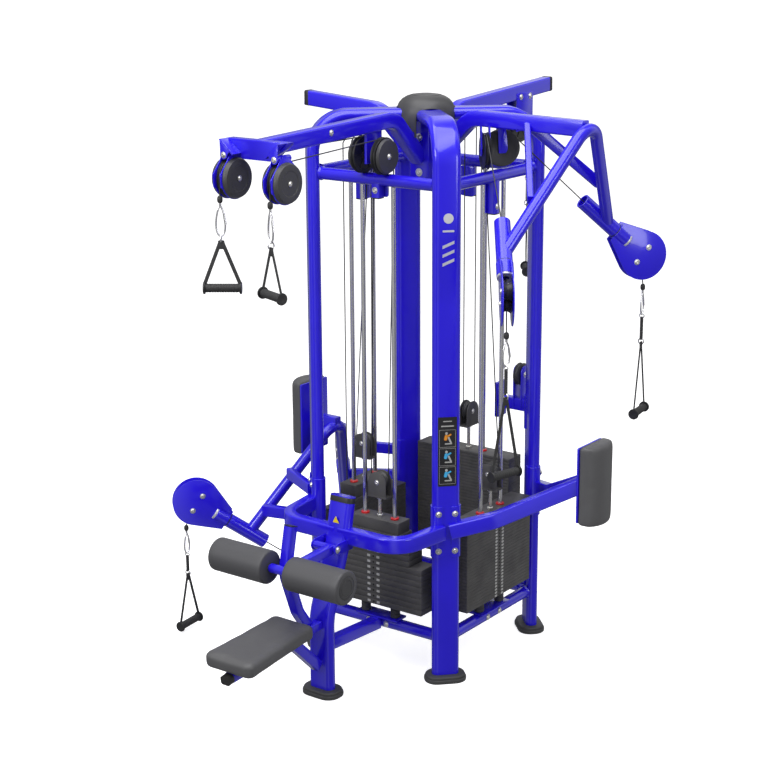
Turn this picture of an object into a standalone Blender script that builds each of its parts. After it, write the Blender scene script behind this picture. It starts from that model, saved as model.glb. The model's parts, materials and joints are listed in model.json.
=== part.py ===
"""Four-station cable machine: four bent corner uprights meet under a round hub cap.

Each side of the square carries one station: a boom at the top, a guided weight stack between
two uprights, and a welded lower arm with its seat, pad or swivelling low pulleys.
A station is modelled in its own axes (out, side, up) and turned about Z into its place.
"""
import math

import bmesh
import bpy
from mathutils import Matrix, Vector

# Tube sections and fits
TUBE_WIDE = 0.114
TUBE_THIN = 0.051
BOOM_WIDE = 0.051
BOOM_TALL = 0.064
ROUND_TUBE_R = 0.0254
FIT = 0.0003
OVERLAP = 0.002

# Corner uprights and the square that they stand on
CORNER_R = 0.472
ARCH_Z = 2.309
ARCH_BEND = 0.150
ARCH_INNER_R = 0.072
TOP_TIE_Z = 2.077
BASE_TIE_Z = 0.184
SIDE_AT = CORNER_R / math.sqrt(2.0)

# Feet
FOOT_WIDE = 0.176
FOOT_DEEP = 0.118
FOOT_TALL = 0.029

# Hub
CORE_SIDE = 0.096
CORE_BOTTOM_Z = 2.025
CAP_R = 0.1235
CAP_TOP_Z = 2.391
CAP_RIM_Z = 2.222
CAP_WALL = 0.004

# Booms, all rising from the core and bending outward
BOOM_ROOT_Z = 2.130
BOOM_Z = 2.307
BOOM_KNEE = 0.232
PULLDOWN_REACH = 1.060
PULLDOWN_DROP = 0.030
HIGH_DROP = 0.010
ROW_DROP = -0.030
REAR_DROP = -0.048
HIGH_REACH = 0.774
ROW_REACH = 0.620
REAR_REACH = 0.960
CROSSBAR_HALF = 0.144

# Weight stacks and their guide rods
ROD_R = 0.0095
ROD_HALF_GAP = 0.077
ROD_CLEAR = 0.0012
STACK_BOTTOM_Z = 0.273
PLATE_HALF_WIDE = 0.246
PLATE_HALF_DEEP = 0.050
TRAY_HALF = 0.110
TRAY_THICK = 0.006
BUMPER_R = 0.021
STEM_R = 0.008
BLOCK_WHEEL_R = 0.0415
BLOCK_LIFT = 0.068

# Pulleys
WHEEL_R = 0.075
GROOVE_R = 0.066
WHEEL_HALF = 0.011
AXLE_R = 0.006
CABLE_R = 0.0025
REAR_ANCHOR_RISE = 1.300
ROW_RISE_OUT = 0.410

# Pulldown swivels and hub pulleys
SWIVEL_SIDE = 0.120
SWIVEL_OUT = 1.070
SWIVEL_Z = 2.163
PIVOT_OUT = 1.101
PIVOT_Z = 2.251
HUB_WHEEL_SIDE = 0.050
HUB_WHEEL_OUT = 0.362
HUB_WHEEL_Z = 2.176
HIGH_WHEEL = Vector((0.332, 0.060, 2.185))
REAR_WHEEL = Vector((0.728, 0.0, 2.190))

# Dual swivel heads at the feet of the arches: inner end of the guide tube, its direction
GUIDE_R = 0.032
GUIDE_BORE_R = 0.024
GUIDE_LENGTH = 0.200
HIGH_GUIDE = Vector((0.574, 0.306, 1.958))
HIGH_AIM = Vector((0.450, 0.600, -0.660)).normalized()
ROW_GUIDE = Vector((0.668, 0.300, 0.388))
ROW_AIM = Vector((0.557, 0.603, 0.573)).normalized()
HIGH_LEG_JOIN = 0.155
ROW_LEG_JOIN = 0.085
FAN_R = 0.105
FAN_OUT = 0.165
FAN_NECK = 0.047
FAN_THICK = 0.004
FAN_HALF = 0.0225
HEAD_WHEEL_R = 0.036
HEAD_WHEEL_APART = 0.0395

# Lower arms
BELT_Z = 0.660
SLEEVE_LOW_Z = 0.550
SLEEVE_TALL = 0.220
SLEEVE_WALL = 0.005
SLEEVE_LIP = 0.018
BELT_OUT = 0.612
POST_FOOT_OUT = 0.735

# Pads and rollers
ROLLER_R = 0.068
ROLLER_LENGTH = 0.270
ROLLER_START = 0.055
ROLLER_OUT = 0.985
ROLLER_Z = 0.617
ARM_PIVOT_OUT = 0.702
ARM_PIVOT_Z = 0.628
YOKE_HALF = 0.055
SEAT_TOP_Z = 0.378
SEAT_TILT = 3.5
SEAT_THICK = 0.064
RAIL_Z = 0.3135
RAIL_TALL = 0.034
PAD_HALF = 0.100
PAD_DEEP = 0.080
PAD_TALL = 0.350

# Handles
GRIP_R = 0.0165
GRIP_HALF = 0.068
FLANGE_R = 0.023
PULLDOWN_STOP_Z = 2.104
REAR_STOP_Z = 2.080

BLUE = (0.030, 0.010, 0.620, 1.0)
DARK = (0.060, 0.060, 0.063, 1.0)
BLACK = (0.018, 0.018, 0.020, 1.0)
CHROME = (0.720, 0.720, 0.730, 1.0)

TURN = {"pulldown": -90.0, "high": 0.0, "row": 180.0, "rear": 90.0}


def station(name):
    """Matrix from a station's axes (out, side, up) to the machine's axes."""
    return Matrix.Rotation(math.radians(TURN[name]), 4, "Z")


def remove_everything():
    for item in list(bpy.data.objects):
        bpy.data.objects.remove(item, do_unlink=True)


def make_material(name, colour, metallic, roughness):
    material = bpy.data.materials.new(name)
    material.use_nodes = True
    shader = material.node_tree.nodes["Principled BSDF"]
    shader.inputs["Base Color"].default_value = colour
    shader.inputs["Metallic"].default_value = metallic
    shader.inputs["Roughness"].default_value = roughness
    return material


def link(name, data):
    thing = bpy.data.objects.new(name, data)
    bpy.context.scene.collection.objects.link(thing)
    return thing


def evaluated_mesh(thing):
    """The object's modelled surface in world axes, with loose caps and doubled points welded."""
    bpy.context.view_layer.update()
    graph = bpy.context.evaluated_depsgraph_get()
    mesh = bpy.data.meshes.new_from_object(thing.evaluated_get(graph))
    mesh.transform(thing.matrix_world)
    work = bmesh.new()
    work.from_mesh(mesh)
    bmesh.ops.remove_doubles(work, verts=work.verts, dist=0.00001)
    bmesh.ops.recalc_face_normals(work, faces=work.faces)
    work.to_mesh(mesh)
    work.free()
    return mesh


def as_mesh(thing):
    """Swap a curve or a modified object for a plain mesh object in world axes."""
    mesh = evaluated_mesh(thing)
    name = thing.name
    bpy.data.objects.remove(thing, do_unlink=True)
    return link(name, mesh)


def combine(base, others, operation):
    """Apply one exact Boolean after another and use up the other objects."""
    for other in others:
        step = base.modifiers.new("join", "BOOLEAN")
        step.operation = operation
        step.solver = "EXACT"
        step.object = other
        mesh = evaluated_mesh(base)
        base.modifiers.clear()
        base.data = mesh
        bpy.data.objects.remove(other, do_unlink=True)
    return base


def weld(base, *others):
    return combine(base, others, "UNION")


def cut(base, *others):
    return combine(base, others, "DIFFERENCE")


def turned(thing, matrix):
    thing.data.transform(matrix)
    return thing


def rounded_outline(corners, radius, steps):
    """Points along an open path whose inner corners are arcs of the given radius."""
    path = [Vector(point) for point in corners]
    points = [path[0]]
    for before, corner, after in zip(path, path[1:], path[2:]):
        arrive = (before - corner).normalized()
        leave = (after - corner).normalized()
        half = arrive.angle(leave) / 2.0
        centre = corner + (arrive + leave).normalized() * (radius / math.sin(half))
        start = corner + arrive * (radius / math.tan(half))
        end = corner + leave * (radius / math.tan(half))
        for index in range(steps + 1):
            share = index / steps
            spoke = (start - centre).slerp(end - centre, share).normalized()
            points.append(centre + spoke * radius)
    points.append(path[-1])
    return points


def section_curve(wide, tall, roundness, steps):
    """Closed rounded rectangle used as the section of a bent tube."""
    radius = roundness * min(wide, tall) / 2.0
    curve = bpy.data.curves.new("section", "CURVE")
    curve.dimensions = "2D"
    spline = curve.splines.new("POLY")
    points = []
    for quarter in range(4):
        across = wide / 2.0 - radius if quarter in (0, 3) else radius - wide / 2.0
        along = tall / 2.0 - radius if quarter in (0, 1) else radius - tall / 2.0
        for index in range(steps + 1):
            angle = math.radians(90.0 * (quarter + index / steps))
            points.append((across + radius * math.cos(angle), along + radius * math.sin(angle)))
    spline.points.add(len(points) - 1)
    for knot, point in zip(spline.points, points):
        knot.co = (point[0], point[1], 0.0, 1.0)
    spline.use_cyclic_u = True
    return link("section", curve)


def bent_tube(name, corners, bend, in_plane, across, roundness=0.96, steps=4, facets=2):
    """Tube swept in its own XY plane, in_plane thick in that plane and across thick along Z."""
    points = rounded_outline([(x, y, 0.0) for x, y in corners], bend, steps)
    curve = bpy.data.curves.new(name, "CURVE")
    curve.dimensions = "2D"
    spline = curve.splines.new("POLY")
    spline.points.add(len(points) - 1)
    for knot, point in zip(spline.points, points):
        knot.co = (point.x, point.y, 0.0, 1.0)
    section = section_curve(in_plane, across, roundness, facets)
    curve.bevel_mode = "OBJECT"
    curve.bevel_object = section
    curve.use_fill_caps = True
    tube = as_mesh(link(name, curve))
    bpy.data.objects.remove(section, do_unlink=True)
    return tube


def round_tube(name, points, radius, resolution=2):
    """Round tube along points in space."""
    curve = bpy.data.curves.new(name, "CURVE")
    curve.dimensions = "3D"
    curve.bevel_depth = radius
    curve.bevel_resolution = resolution
    curve.use_fill_caps = True
    spline = curve.splines.new("POLY")
    spline.points.add(len(points) - 1)
    for knot, point in zip(spline.points, points):
        knot.co = (point[0], point[1], point[2], 1.0)
    return as_mesh(link(name, curve))


def rod(name, start, end, radius, sides=12, end_radius=None):
    """Cylinder or cone between two points."""
    start = Vector(start)
    end = Vector(end)
    axis = end - start
    work = bmesh.new()
    bmesh.ops.create_cone(
        work, cap_ends=True, segments=sides, radius1=radius,
        radius2=radius if end_radius is None else end_radius, depth=axis.length)
    aim = axis.to_track_quat("Z", "Y").to_matrix().to_4x4()
    bmesh.ops.transform(work, matrix=Matrix.Translation((start + end) / 2.0) @ aim, verts=work.verts)
    mesh = bpy.data.meshes.new(name)
    work.to_mesh(mesh)
    work.free()
    return link(name, mesh)


def block(name, low, high):
    """Box between two opposite corners."""
    low = Vector(low)
    high = Vector(high)
    work = bmesh.new()
    bmesh.ops.create_cube(work, size=1.0)
    size = Matrix.Diagonal((high - low).to_4d())
    size[3][3] = 1.0
    bmesh.ops.transform(work, matrix=Matrix.Translation((low + high) / 2.0) @ size, verts=work.verts)
    mesh = bpy.data.meshes.new(name)
    work.to_mesh(mesh)
    work.free()
    return link(name, mesh)


def bar(name, start, end, wide, tall):
    """Straight box section between two points, tall in the vertical plane of its run."""
    start = Vector(start)
    end = Vector(end)
    axis = (end - start).normalized()
    side = axis.cross(Vector((0.0, 0.0, 1.0))).normalized()
    lift = side.cross(axis)
    box = block(name, (0.0, -wide / 2.0, -tall / 2.0), ((end - start).length, wide / 2.0, tall / 2.0))
    frame = Matrix((axis, side, lift)).transposed().to_4x4()
    return turned(box, Matrix.Translation(start) @ frame)


def prism(name, outline, half, holes=()):
    """Flat outline in the XY plane, filled and extruded by half a thickness each way."""
    curve = bpy.data.curves.new(name, "CURVE")
    curve.dimensions = "2D"
    curve.fill_mode = "BOTH"
    curve.extrude = half
    for loop in (outline, *holes):
        spline = curve.splines.new("POLY")
        spline.points.add(len(loop) - 1)
        for knot, point in zip(spline.points, loop):
            knot.co = (point[0], point[1], 0.0, 1.0)
        spline.use_cyclic_u = True
    return as_mesh(link(name, curve))


def stadium(wide, deep, roundness=0.96, steps=3):
    """Outline of a rounded rectangle centred on the origin."""
    radius = roundness * min(wide, deep) / 2.0
    points = []
    for quarter in range(4):
        x = wide / 2.0 - radius if quarter in (0, 3) else radius - wide / 2.0
        y = deep / 2.0 - radius if quarter in (0, 1) else radius - deep / 2.0
        for index in range(steps + 1):
            angle = math.radians(90.0 * (quarter + index / steps))
            points.append((x + radius * math.cos(angle), y + radius * math.sin(angle)))
    return points


def ring_points(centre, radius, first, last, steps):
    """Points on an arc in the XY plane, angles in degrees."""
    points = []
    for index in range(steps + 1):
        angle = math.radians(first + (last - first) * index / steps)
        points.append((centre[0] + radius * math.cos(angle), centre[1] + radius * math.sin(angle)))
    return points


def softened(thing, width, segments=2):
    """Round the sharp edges of a block."""
    bevel = thing.modifiers.new("rounded", "BEVEL")
    bevel.width = width
    bevel.segments = segments
    bevel.limit_method = "ANGLE"
    bevel.angle_limit = math.radians(40.0)
    return as_mesh(thing)


UPRIGHT_PLANE = Matrix.Rotation(math.radians(90.0), 4, "X")


def finish(thing, name, matrix, material, origin=(0.0, 0.0, 0.0)):
    """Turn a part into its station, set its origin in machine axes, name and paint it."""
    turned(thing, matrix)
    place = Vector(origin)
    thing.data.transform(Matrix.Translation(-place))
    thing.location = place
    thing.name = name
    thing.data.name = name
    thing.data.materials.clear()
    thing.data.materials.append(material)
    thing.data.shade_smooth()
    thing.data.set_sharp_from_angle(angle=math.radians(35.0))
    bpy.context.scene.collection.objects.unlink(thing)
    parts.objects.link(thing)
    return thing


def post_clearance(corner, extra, low, high):
    """Vertical prism around one upright, larger than its section by extra all round."""
    outline = stadium(TUBE_THIN + 2.0 * extra, TUBE_WIDE + 2.0 * extra, steps=2)
    solid = prism("clearance", outline, (high - low) / 2.0)
    angle = math.radians(corner)
    place = Matrix.Rotation(angle, 4, "Z") @ Matrix.Translation((CORNER_R, 0.0, (low + high) / 2.0))
    return turned(solid, place)


def beyond_lip(corner, towards, lip, low, high):
    """Block over the part of an upright that belongs to the neighbouring station's sleeve."""
    sides = (-TUBE_WIDE, lip) if towards > 0.0 else (-lip, TUBE_WIDE)
    trim = block("trim", (0.0, sides[0], low), (1.0, sides[1], high))
    return turned(trim, Matrix.Rotation(math.radians(corner), 4, "Z"))


def sleeve(corner, towards, low, tall):
    """Channel that hugs one narrow edge of an upright; towards is +1 or -1 along its width."""
    shell = post_clearance(corner, SLEEVE_WALL + FIT, low, low + tall)
    cut(shell, beyond_lip(corner, towards, SLEEVE_LIP, low - 0.01, low + tall + 0.01))
    return cut(shell, post_clearance(corner, FIT, low - 0.05, low + tall + 0.05))


def fit_to_uprights(frame, name, hands, low=SLEEVE_LOW_Z, tall=SLEEVE_TALL):
    """Trim a station's frame clear of its uprights, then weld one sleeve on for each of them."""
    local = station(name).inverted()
    for corner, towards in hands.items():
        cut(frame, turned(post_clearance(corner, FIT, low - 0.25, low + tall + 0.25), local))
        spare = beyond_lip(corner, towards, SLEEVE_LIP / 2.0, low - 0.1, low + tall + 0.1)
        cut(frame, turned(spare, local))
    for corner, towards in hands.items():
        weld(frame, turned(sleeve(corner, towards, low, tall), local))
    return frame


def build_corners():
    """Bent uprights, each welded to four half tie bars that meet their neighbours mid-side."""
    corners = {"corner_front": -45.0, "corner_right": 45.0, "corner_rear": 135.0, "corner_left": -135.0}
    for name, angle in corners.items():
        path = [(ARCH_INNER_R, ARCH_Z), (CORNER_R, ARCH_Z), (CORNER_R, FOOT_TALL + FIT)]
        upright = bent_tube(name, path, ARCH_BEND, TUBE_THIN, TUBE_WIDE)
        turned(upright, UPRIGHT_PLANE)
        middle = math.hypot(SIDE_AT, SIDE_AT)
        for level in (TOP_TIE_Z, BASE_TIE_Z):
            for side in (1.0, -1.0):
                away = Vector((-math.sin(math.pi / 4.0), side * math.sin(math.pi / 4.0), 0.0))
                start = Vector((middle, 0.0, level))
                end = start + away * (SIDE_AT - FIT)
                weld(upright, rod("half_bar", start, end, ROUND_TUBE_R))
        finish(upright, name, Matrix.Rotation(math.radians(angle), 4, "Z"), paint)


def build_feet():
    """Moulded rubber shoes under the four uprights and the seat post."""
    places = {"foot_front": -45.0, "foot_right": 45.0, "foot_rear": 135.0, "foot_left": -135.0}
    shoe = prism("shoe", stadium(FOOT_DEEP, FOOT_WIDE, 0.9), FOOT_TALL / 2.0)
    shape = shoe.data
    bpy.data.objects.remove(shoe, do_unlink=True)
    for name, angle in places.items():
        foot = link(name, shape.copy())
        turned(foot, Matrix.Translation((CORNER_R, 0.0, FOOT_TALL / 2.0)))
        finish(foot, name, Matrix.Rotation(math.radians(angle), 4, "Z"), rubber)
    foot = link("foot_seat", shape.copy())
    turned(foot, Matrix.Translation((POST_FOOT_OUT, 0.0, FOOT_TALL / 2.0)))
    finish(foot, "foot_seat", station("pulldown"), rubber)


def build_hub():
    """Square core under the arches, and the domed cap over them with an arch for each tube."""
    half = CORE_SIDE / 2.0
    top = ARCH_Z - TUBE_THIN / 2.0 - FIT
    core = softened(block("hub_core", (-half, -half, CORE_BOTTOM_Z), (half, half, top)), 0.006)
    finish(core, "hub_core", Matrix.Identity(4), paint)

    shoulder = CAP_TOP_Z - 0.040
    outer = [(0.0, CAP_TOP_Z), (0.060, CAP_TOP_Z - 0.007), (0.105, CAP_TOP_Z - 0.023),
             (CAP_R, shoulder), (CAP_R - 0.003, CAP_RIM_Z)]
    inner = [(CAP_R - 0.003 - CAP_WALL, CAP_RIM_Z), (CAP_R - 2.0 * CAP_WALL, shoulder - 0.004),
             (0.0, shoulder + 0.016)]
    cap = lathe("hub_cap", outer + inner, 24)
    openings = []
    for angle in (-135.0, -45.0, 45.0, 135.0):
        notch = block("notch", (0.085, -TUBE_WIDE / 2.0 - 0.002, CAP_RIM_Z - 0.05),
                      (0.2, TUBE_WIDE / 2.0 + 0.002, ARCH_Z + TUBE_THIN / 2.0 + FIT))
        openings.append(turned(notch, Matrix.Rotation(math.radians(angle), 4, "Z")))
    for turn in TURN.values():
        notch = block("notch", (0.060, -BOOM_WIDE / 2.0 - 0.002, CAP_RIM_Z - 0.05),
                      (0.2, BOOM_WIDE / 2.0 + 0.002, BOOM_Z + 0.008))
        openings.append(turned(notch, Matrix.Rotation(math.radians(turn), 4, "Z")))
    cut(cap, *openings)
    finish(cap, "hub_cap", Matrix.Identity(4), plastic)


def lathe(name, profile, steps):
    """Closed profile of (radius, height) spun about Z with a Screw modifier."""
    mesh = bpy.data.meshes.new(name)
    count = len(profile)
    closed = profile[0][0] > 0.0 and profile[-1][0] > 0.0
    edges = [(index, index + 1) for index in range(count - 1)]
    if closed:
        edges.append((count - 1, 0))
    mesh.from_pydata([(radius, 0.0, height) for radius, height in profile], edges, [])
    thing = link(name, mesh)
    screw = thing.modifiers.new("turned", "SCREW")
    screw.axis = "Z"
    screw.steps = steps
    screw.render_steps = steps
    screw.use_merge_vertices = True
    screw.merge_threshold = 0.00001
    return as_mesh(thing)


def boom(reach, drop=0.0):
    """Tube that rises from the core at 45 degrees, bends, and runs outward."""
    start = CORE_SIDE / 2.0 + FIT
    path = [(start, BOOM_ROOT_Z), (BOOM_KNEE, BOOM_Z), (reach, BOOM_Z - drop)]
    tube = bent_tube("boom", path, 0.110, BOOM_TALL, BOOM_WIDE, 0.8)
    turned(tube, UPRIGHT_PLANE)
    trim = block("trim", (-0.2, -0.2, 1.8), (start, 0.2, 2.6))
    return cut(tube, trim)


def build_booms():
    """The pulldown boom with its folded crossbar, and the plain row and rear booms."""
    arm = boom(PULLDOWN_REACH, PULLDOWN_DROP)
    top = BOOM_Z - PULLDOWN_DROP + BOOM_TALL / 2.0 - 0.001
    low = PIVOT_Z - 0.016
    body = [(-CROSSBAR_HALF, top), (-0.062, low), (0.062, low), (CROSSBAR_HALF, top)]
    across = Matrix(((0, 0, 1, 0), (1, 0, 0, 0), (0, 1, 0, 0), (0, 0, 0, 1)))
    fold = turned(prism("fold", body, 0.022), Matrix.Translation((PULLDOWN_REACH - 0.012, 0, 0)) @ across)
    weld(arm, fold)
    for side in (-1.0, 1.0):
        flap = [(side * CROSSBAR_HALF, top), (side * 0.080, low + 0.016), (side * 0.074, low + 0.022),
                (side * 0.132, top)]
        lug = [(side * 0.138, top - 0.002), *ring_points((side * SWIVEL_SIDE, PIVOT_Z), 0.017,
               90.0 - side * 70.0, 90.0 - side * 270.0, 8), (side * 0.092, low + 0.030)]
        web = Matrix.Translation((PIVOT_OUT - 0.016, 0, 0)) @ across
        nose = Matrix.Translation((PIVOT_OUT + 0.0105, 0, 0)) @ across
        weld(arm, turned(prism("flap", flap, 0.0285), web), turned(prism("lug", lug, 0.002), nose))
    hanger = block("hanger", (HUB_WHEEL_OUT - 0.050, -0.006, HUB_WHEEL_Z - 0.030),
                   (HUB_WHEEL_OUT + 0.050, 0.006, BOOM_Z - 0.020))
    weld(arm, hanger)
    for side in (-1.0, 1.0):
        stations = (0.002, 0.066, 0.064, 0.078)
        axis = [Vector((HUB_WHEEL_OUT, side * reach, HUB_WHEEL_Z)) for reach in stations]
        axle = rod("axle", axis[0], axis[1], AXLE_R, 9)
        weld(arm, axle, rod("cover", axis[2], axis[3], 0.070, 16, 0.064))
    finish(arm, "boom_pulldown", station("pulldown"), paint)

    finish(boom(ROW_REACH, ROW_DROP), "boom_row", station("row"), paint)

    arm = boom(REAR_REACH, REAR_DROP)
    for side in (-1.0, 1.0):
        low = (REAR_WHEEL.x - 0.068, min(side * 0.0225, side * 0.0285), REAR_WHEEL.z - 0.022)
        high = (REAR_WHEEL.x + 0.062, max(side * 0.0225, side * 0.0285), BOOM_Z + 0.030)
        weld(arm, block("cheek", low, high))
    reach = Vector((0.0, 0.024, 0.0))
    weld(arm, rod("axle", REAR_WHEEL - reach, REAR_WHEEL + reach, AXLE_R, 9))
    finish(arm, "boom_rear", station("rear"), paint)


def arch(apex, inner_end, aim, join, virtual_height, bend):
    """Inverted V of round tube standing on two guide tubes."""
    foot = inner_end + aim * join
    base = Vector((foot.x, 0.0, foot.z))
    lift = (Vector(apex) - base).normalized()
    points = rounded_outline([(-foot.y, 0.0, 0.0), (0.0, virtual_height, 0.0), (foot.y, 0.0, 0.0)], bend, 8)
    path = [base + Vector((0.0, point.x, 0.0)) + lift * point.y for point in points]
    return round_tube("arch", path, ROUND_TUBE_R, 4)


def guide_tubes(inner_end, aim, frame):
    """Weld the two guide tubes to a frame and bore them for their cables."""
    for side in (-1.0, 1.0):
        start = Vector((inner_end.x, side * inner_end.y, inner_end.z))
        along = Vector((aim.x, side * aim.y, aim.z))
        weld(frame, rod("guide", start, start + along * GUIDE_LENGTH, GUIDE_R))
    for side in (-1.0, 1.0):
        start = Vector((inner_end.x, side * inner_end.y, inner_end.z))
        along = Vector((aim.x, side * aim.y, aim.z))
        past = start + along * (GUIDE_LENGTH + 0.05)
        cut(frame, rod("bore", start - along * 0.05, past, GUIDE_BORE_R))
    return frame


def build_high_boom():
    """Boom, arch, two braces and two guide tubes as one weldment."""
    frame = arch((HIGH_REACH, 0.0, BOOM_Z - HIGH_DROP), HIGH_GUIDE, HIGH_AIM, HIGH_LEG_JOIN, 0.515, 0.092)
    weld(frame, boom(HIGH_REACH - 0.004, HIGH_DROP))
    for side in (-1.0, 1.0):
        brace = bar("brace", (0.500, side * 0.015, 2.290), (0.672, side * 0.262, 2.045), 0.025, 0.044)
        weld(frame, brace)
    guide_tubes(HIGH_GUIDE, HIGH_AIM, frame)
    finish(frame, "boom_high", station("high"), paint)


def build_row_arm():
    """Low arch on four braces from the left and rear uprights, carrying the chest pad's plate."""
    frame = arch((0.492, 0.0, 0.898), ROW_GUIDE, ROW_AIM, ROW_LEG_JOIN, 0.560, 0.077)
    for side in (-1.0, 1.0):
        high = (SIDE_AT + 0.010, side * 0.352, 0.705)
        low = (SIDE_AT + 0.010, side * 0.352, 0.585)
        upper = bar("upper", (0.560, side * 0.250, 0.715), high, 0.030, 0.050)
        lower = bar("lower", (0.650, side * 0.315, 0.542), low, 0.040, 0.050)
        weld(frame, upper, lower)
    stub = bar("stub", (0.480, 0.0, 0.900), (0.618, 0.0, 0.900), 0.040, 0.050)
    plate = block("plate", (0.612, -PAD_HALF + 0.006, 0.750), (0.620, PAD_HALF - 0.006, 1.074))
    weld(frame, stub, plate)
    guide_tubes(ROW_GUIDE, ROW_AIM, frame)
    fit_to_uprights(frame, "row", {-135.0: -1.0, 135.0: 1.0})
    finish(frame, "arm_row", station("row"), paint)


def build_pulldown_mast():
    """Leaning seat post and the U-shaped belt that bolts it to the front and left uprights."""
    post_path = [(POST_FOOT_OUT, FOOT_TALL + FIT), (POST_FOOT_OUT, 0.340), (0.618, 0.640), (0.583, 0.815)]
    frame = turned(bent_tube("post", post_path, 0.25, TUBE_THIN, TUBE_WIDE, steps=4), UPRIGHT_PLANE)
    for side in (-1.0, 1.0):
        path = [(SIDE_AT + 0.012, side * 0.338), (BELT_OUT, side * 0.300), (BELT_OUT, side * 0.030)]
        half = bent_tube("belt", path, 0.105, BOOM_WIDE, BOOM_TALL, 0.8)
        weld(frame, turned(half, Matrix.Translation((0.0, 0.0, BELT_Z))))
    for side in (-1.0, 1.0):
        reach = sorted((side * YOKE_HALF + side * 0.0005, side * YOKE_HALF + side * 0.0065))
        low = (0.600, reach[0], ARM_PIVOT_Z - 0.024)
        high = (ARM_PIVOT_OUT + 0.022, reach[1], ARM_PIVOT_Z + 0.024)
        weld(frame, block("lug", low, high))
    far = (SIDE_AT + ROUND_TUBE_R - 0.004, 0.0, 0.1835)
    brace = bar("brace", (POST_FOOT_OUT - 0.01, 0.0, 0.206), far, 0.045, 0.050)
    base_bar = rod("clear", (SIDE_AT, -0.2, BASE_TIE_Z), (SIDE_AT, 0.2, BASE_TIE_Z), ROUND_TUBE_R + FIT)
    weld(frame, cut(brace, base_bar))
    fit_to_uprights(frame, "pulldown", {-45.0: -1.0, -135.0: 1.0})
    finish(frame, "mast_pulldown", station("pulldown"), paint)


def build_high_belt():
    """Two rising bars from the front and right uprights to the back plate of the half-round pad."""
    plate = block("plate", (0.806, -PAD_HALF + 0.006, 0.715), (0.814, PAD_HALF - 0.006, 1.035))
    frame = plate
    for side in (-1.0, 1.0):
        path = [Vector((SIDE_AT + 0.012, side * 0.352, 0.662)), Vector((0.500, side * 0.220, 0.705)),
                Vector((0.810, side * 0.045, 0.872))]
        weld(frame, bar("inner", path[0], path[1] + (path[1] - path[0]) * 0.04, BOOM_WIDE, BOOM_TALL))
        weld(frame, bar("outer", path[1] + (path[1] - path[2]) * 0.03, path[2], BOOM_WIDE, BOOM_TALL))
    trim = block("trim", (0.814, -0.3, 0.5), (1.2, 0.3, 1.3))
    cut(frame, trim)
    fit_to_uprights(frame, "high", {-45.0: 1.0, 45.0: -1.0})
    finish(frame, "arm_high", station("high"), paint)


def build_rear_bracket():
    """Short arm on the right upright that holds a bolted channel and a fixed low pulley fork."""
    frame = bar("arm", (0.432, -0.262, 1.000), (0.432, -0.092, 1.000), 0.040, 0.055)
    weld(frame, bar("root", (0.366, -0.306, 1.000), (0.444, -0.246, 1.000), 0.040, 0.055))
    weld(frame, block("channel", (0.404, -0.104, 0.925), (0.482, -0.090, 1.085)))
    for side in (-1.0, 1.0):
        middle = -0.205 + side * 0.020
        weld(frame, block("cheek", (0.408, middle - 0.0025, 0.990), (0.468, middle + 0.0025, 1.175)))
    weld(frame, rod("wheel", (0.438, -0.226, 1.135), (0.438, -0.184, 1.135), 0.050, 16))
    fit_to_uprights(frame, "rear", {45.0: 1.0}, 0.925, 0.150)
    finish(frame, "bracket_rear", station("rear"), paint)


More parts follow.
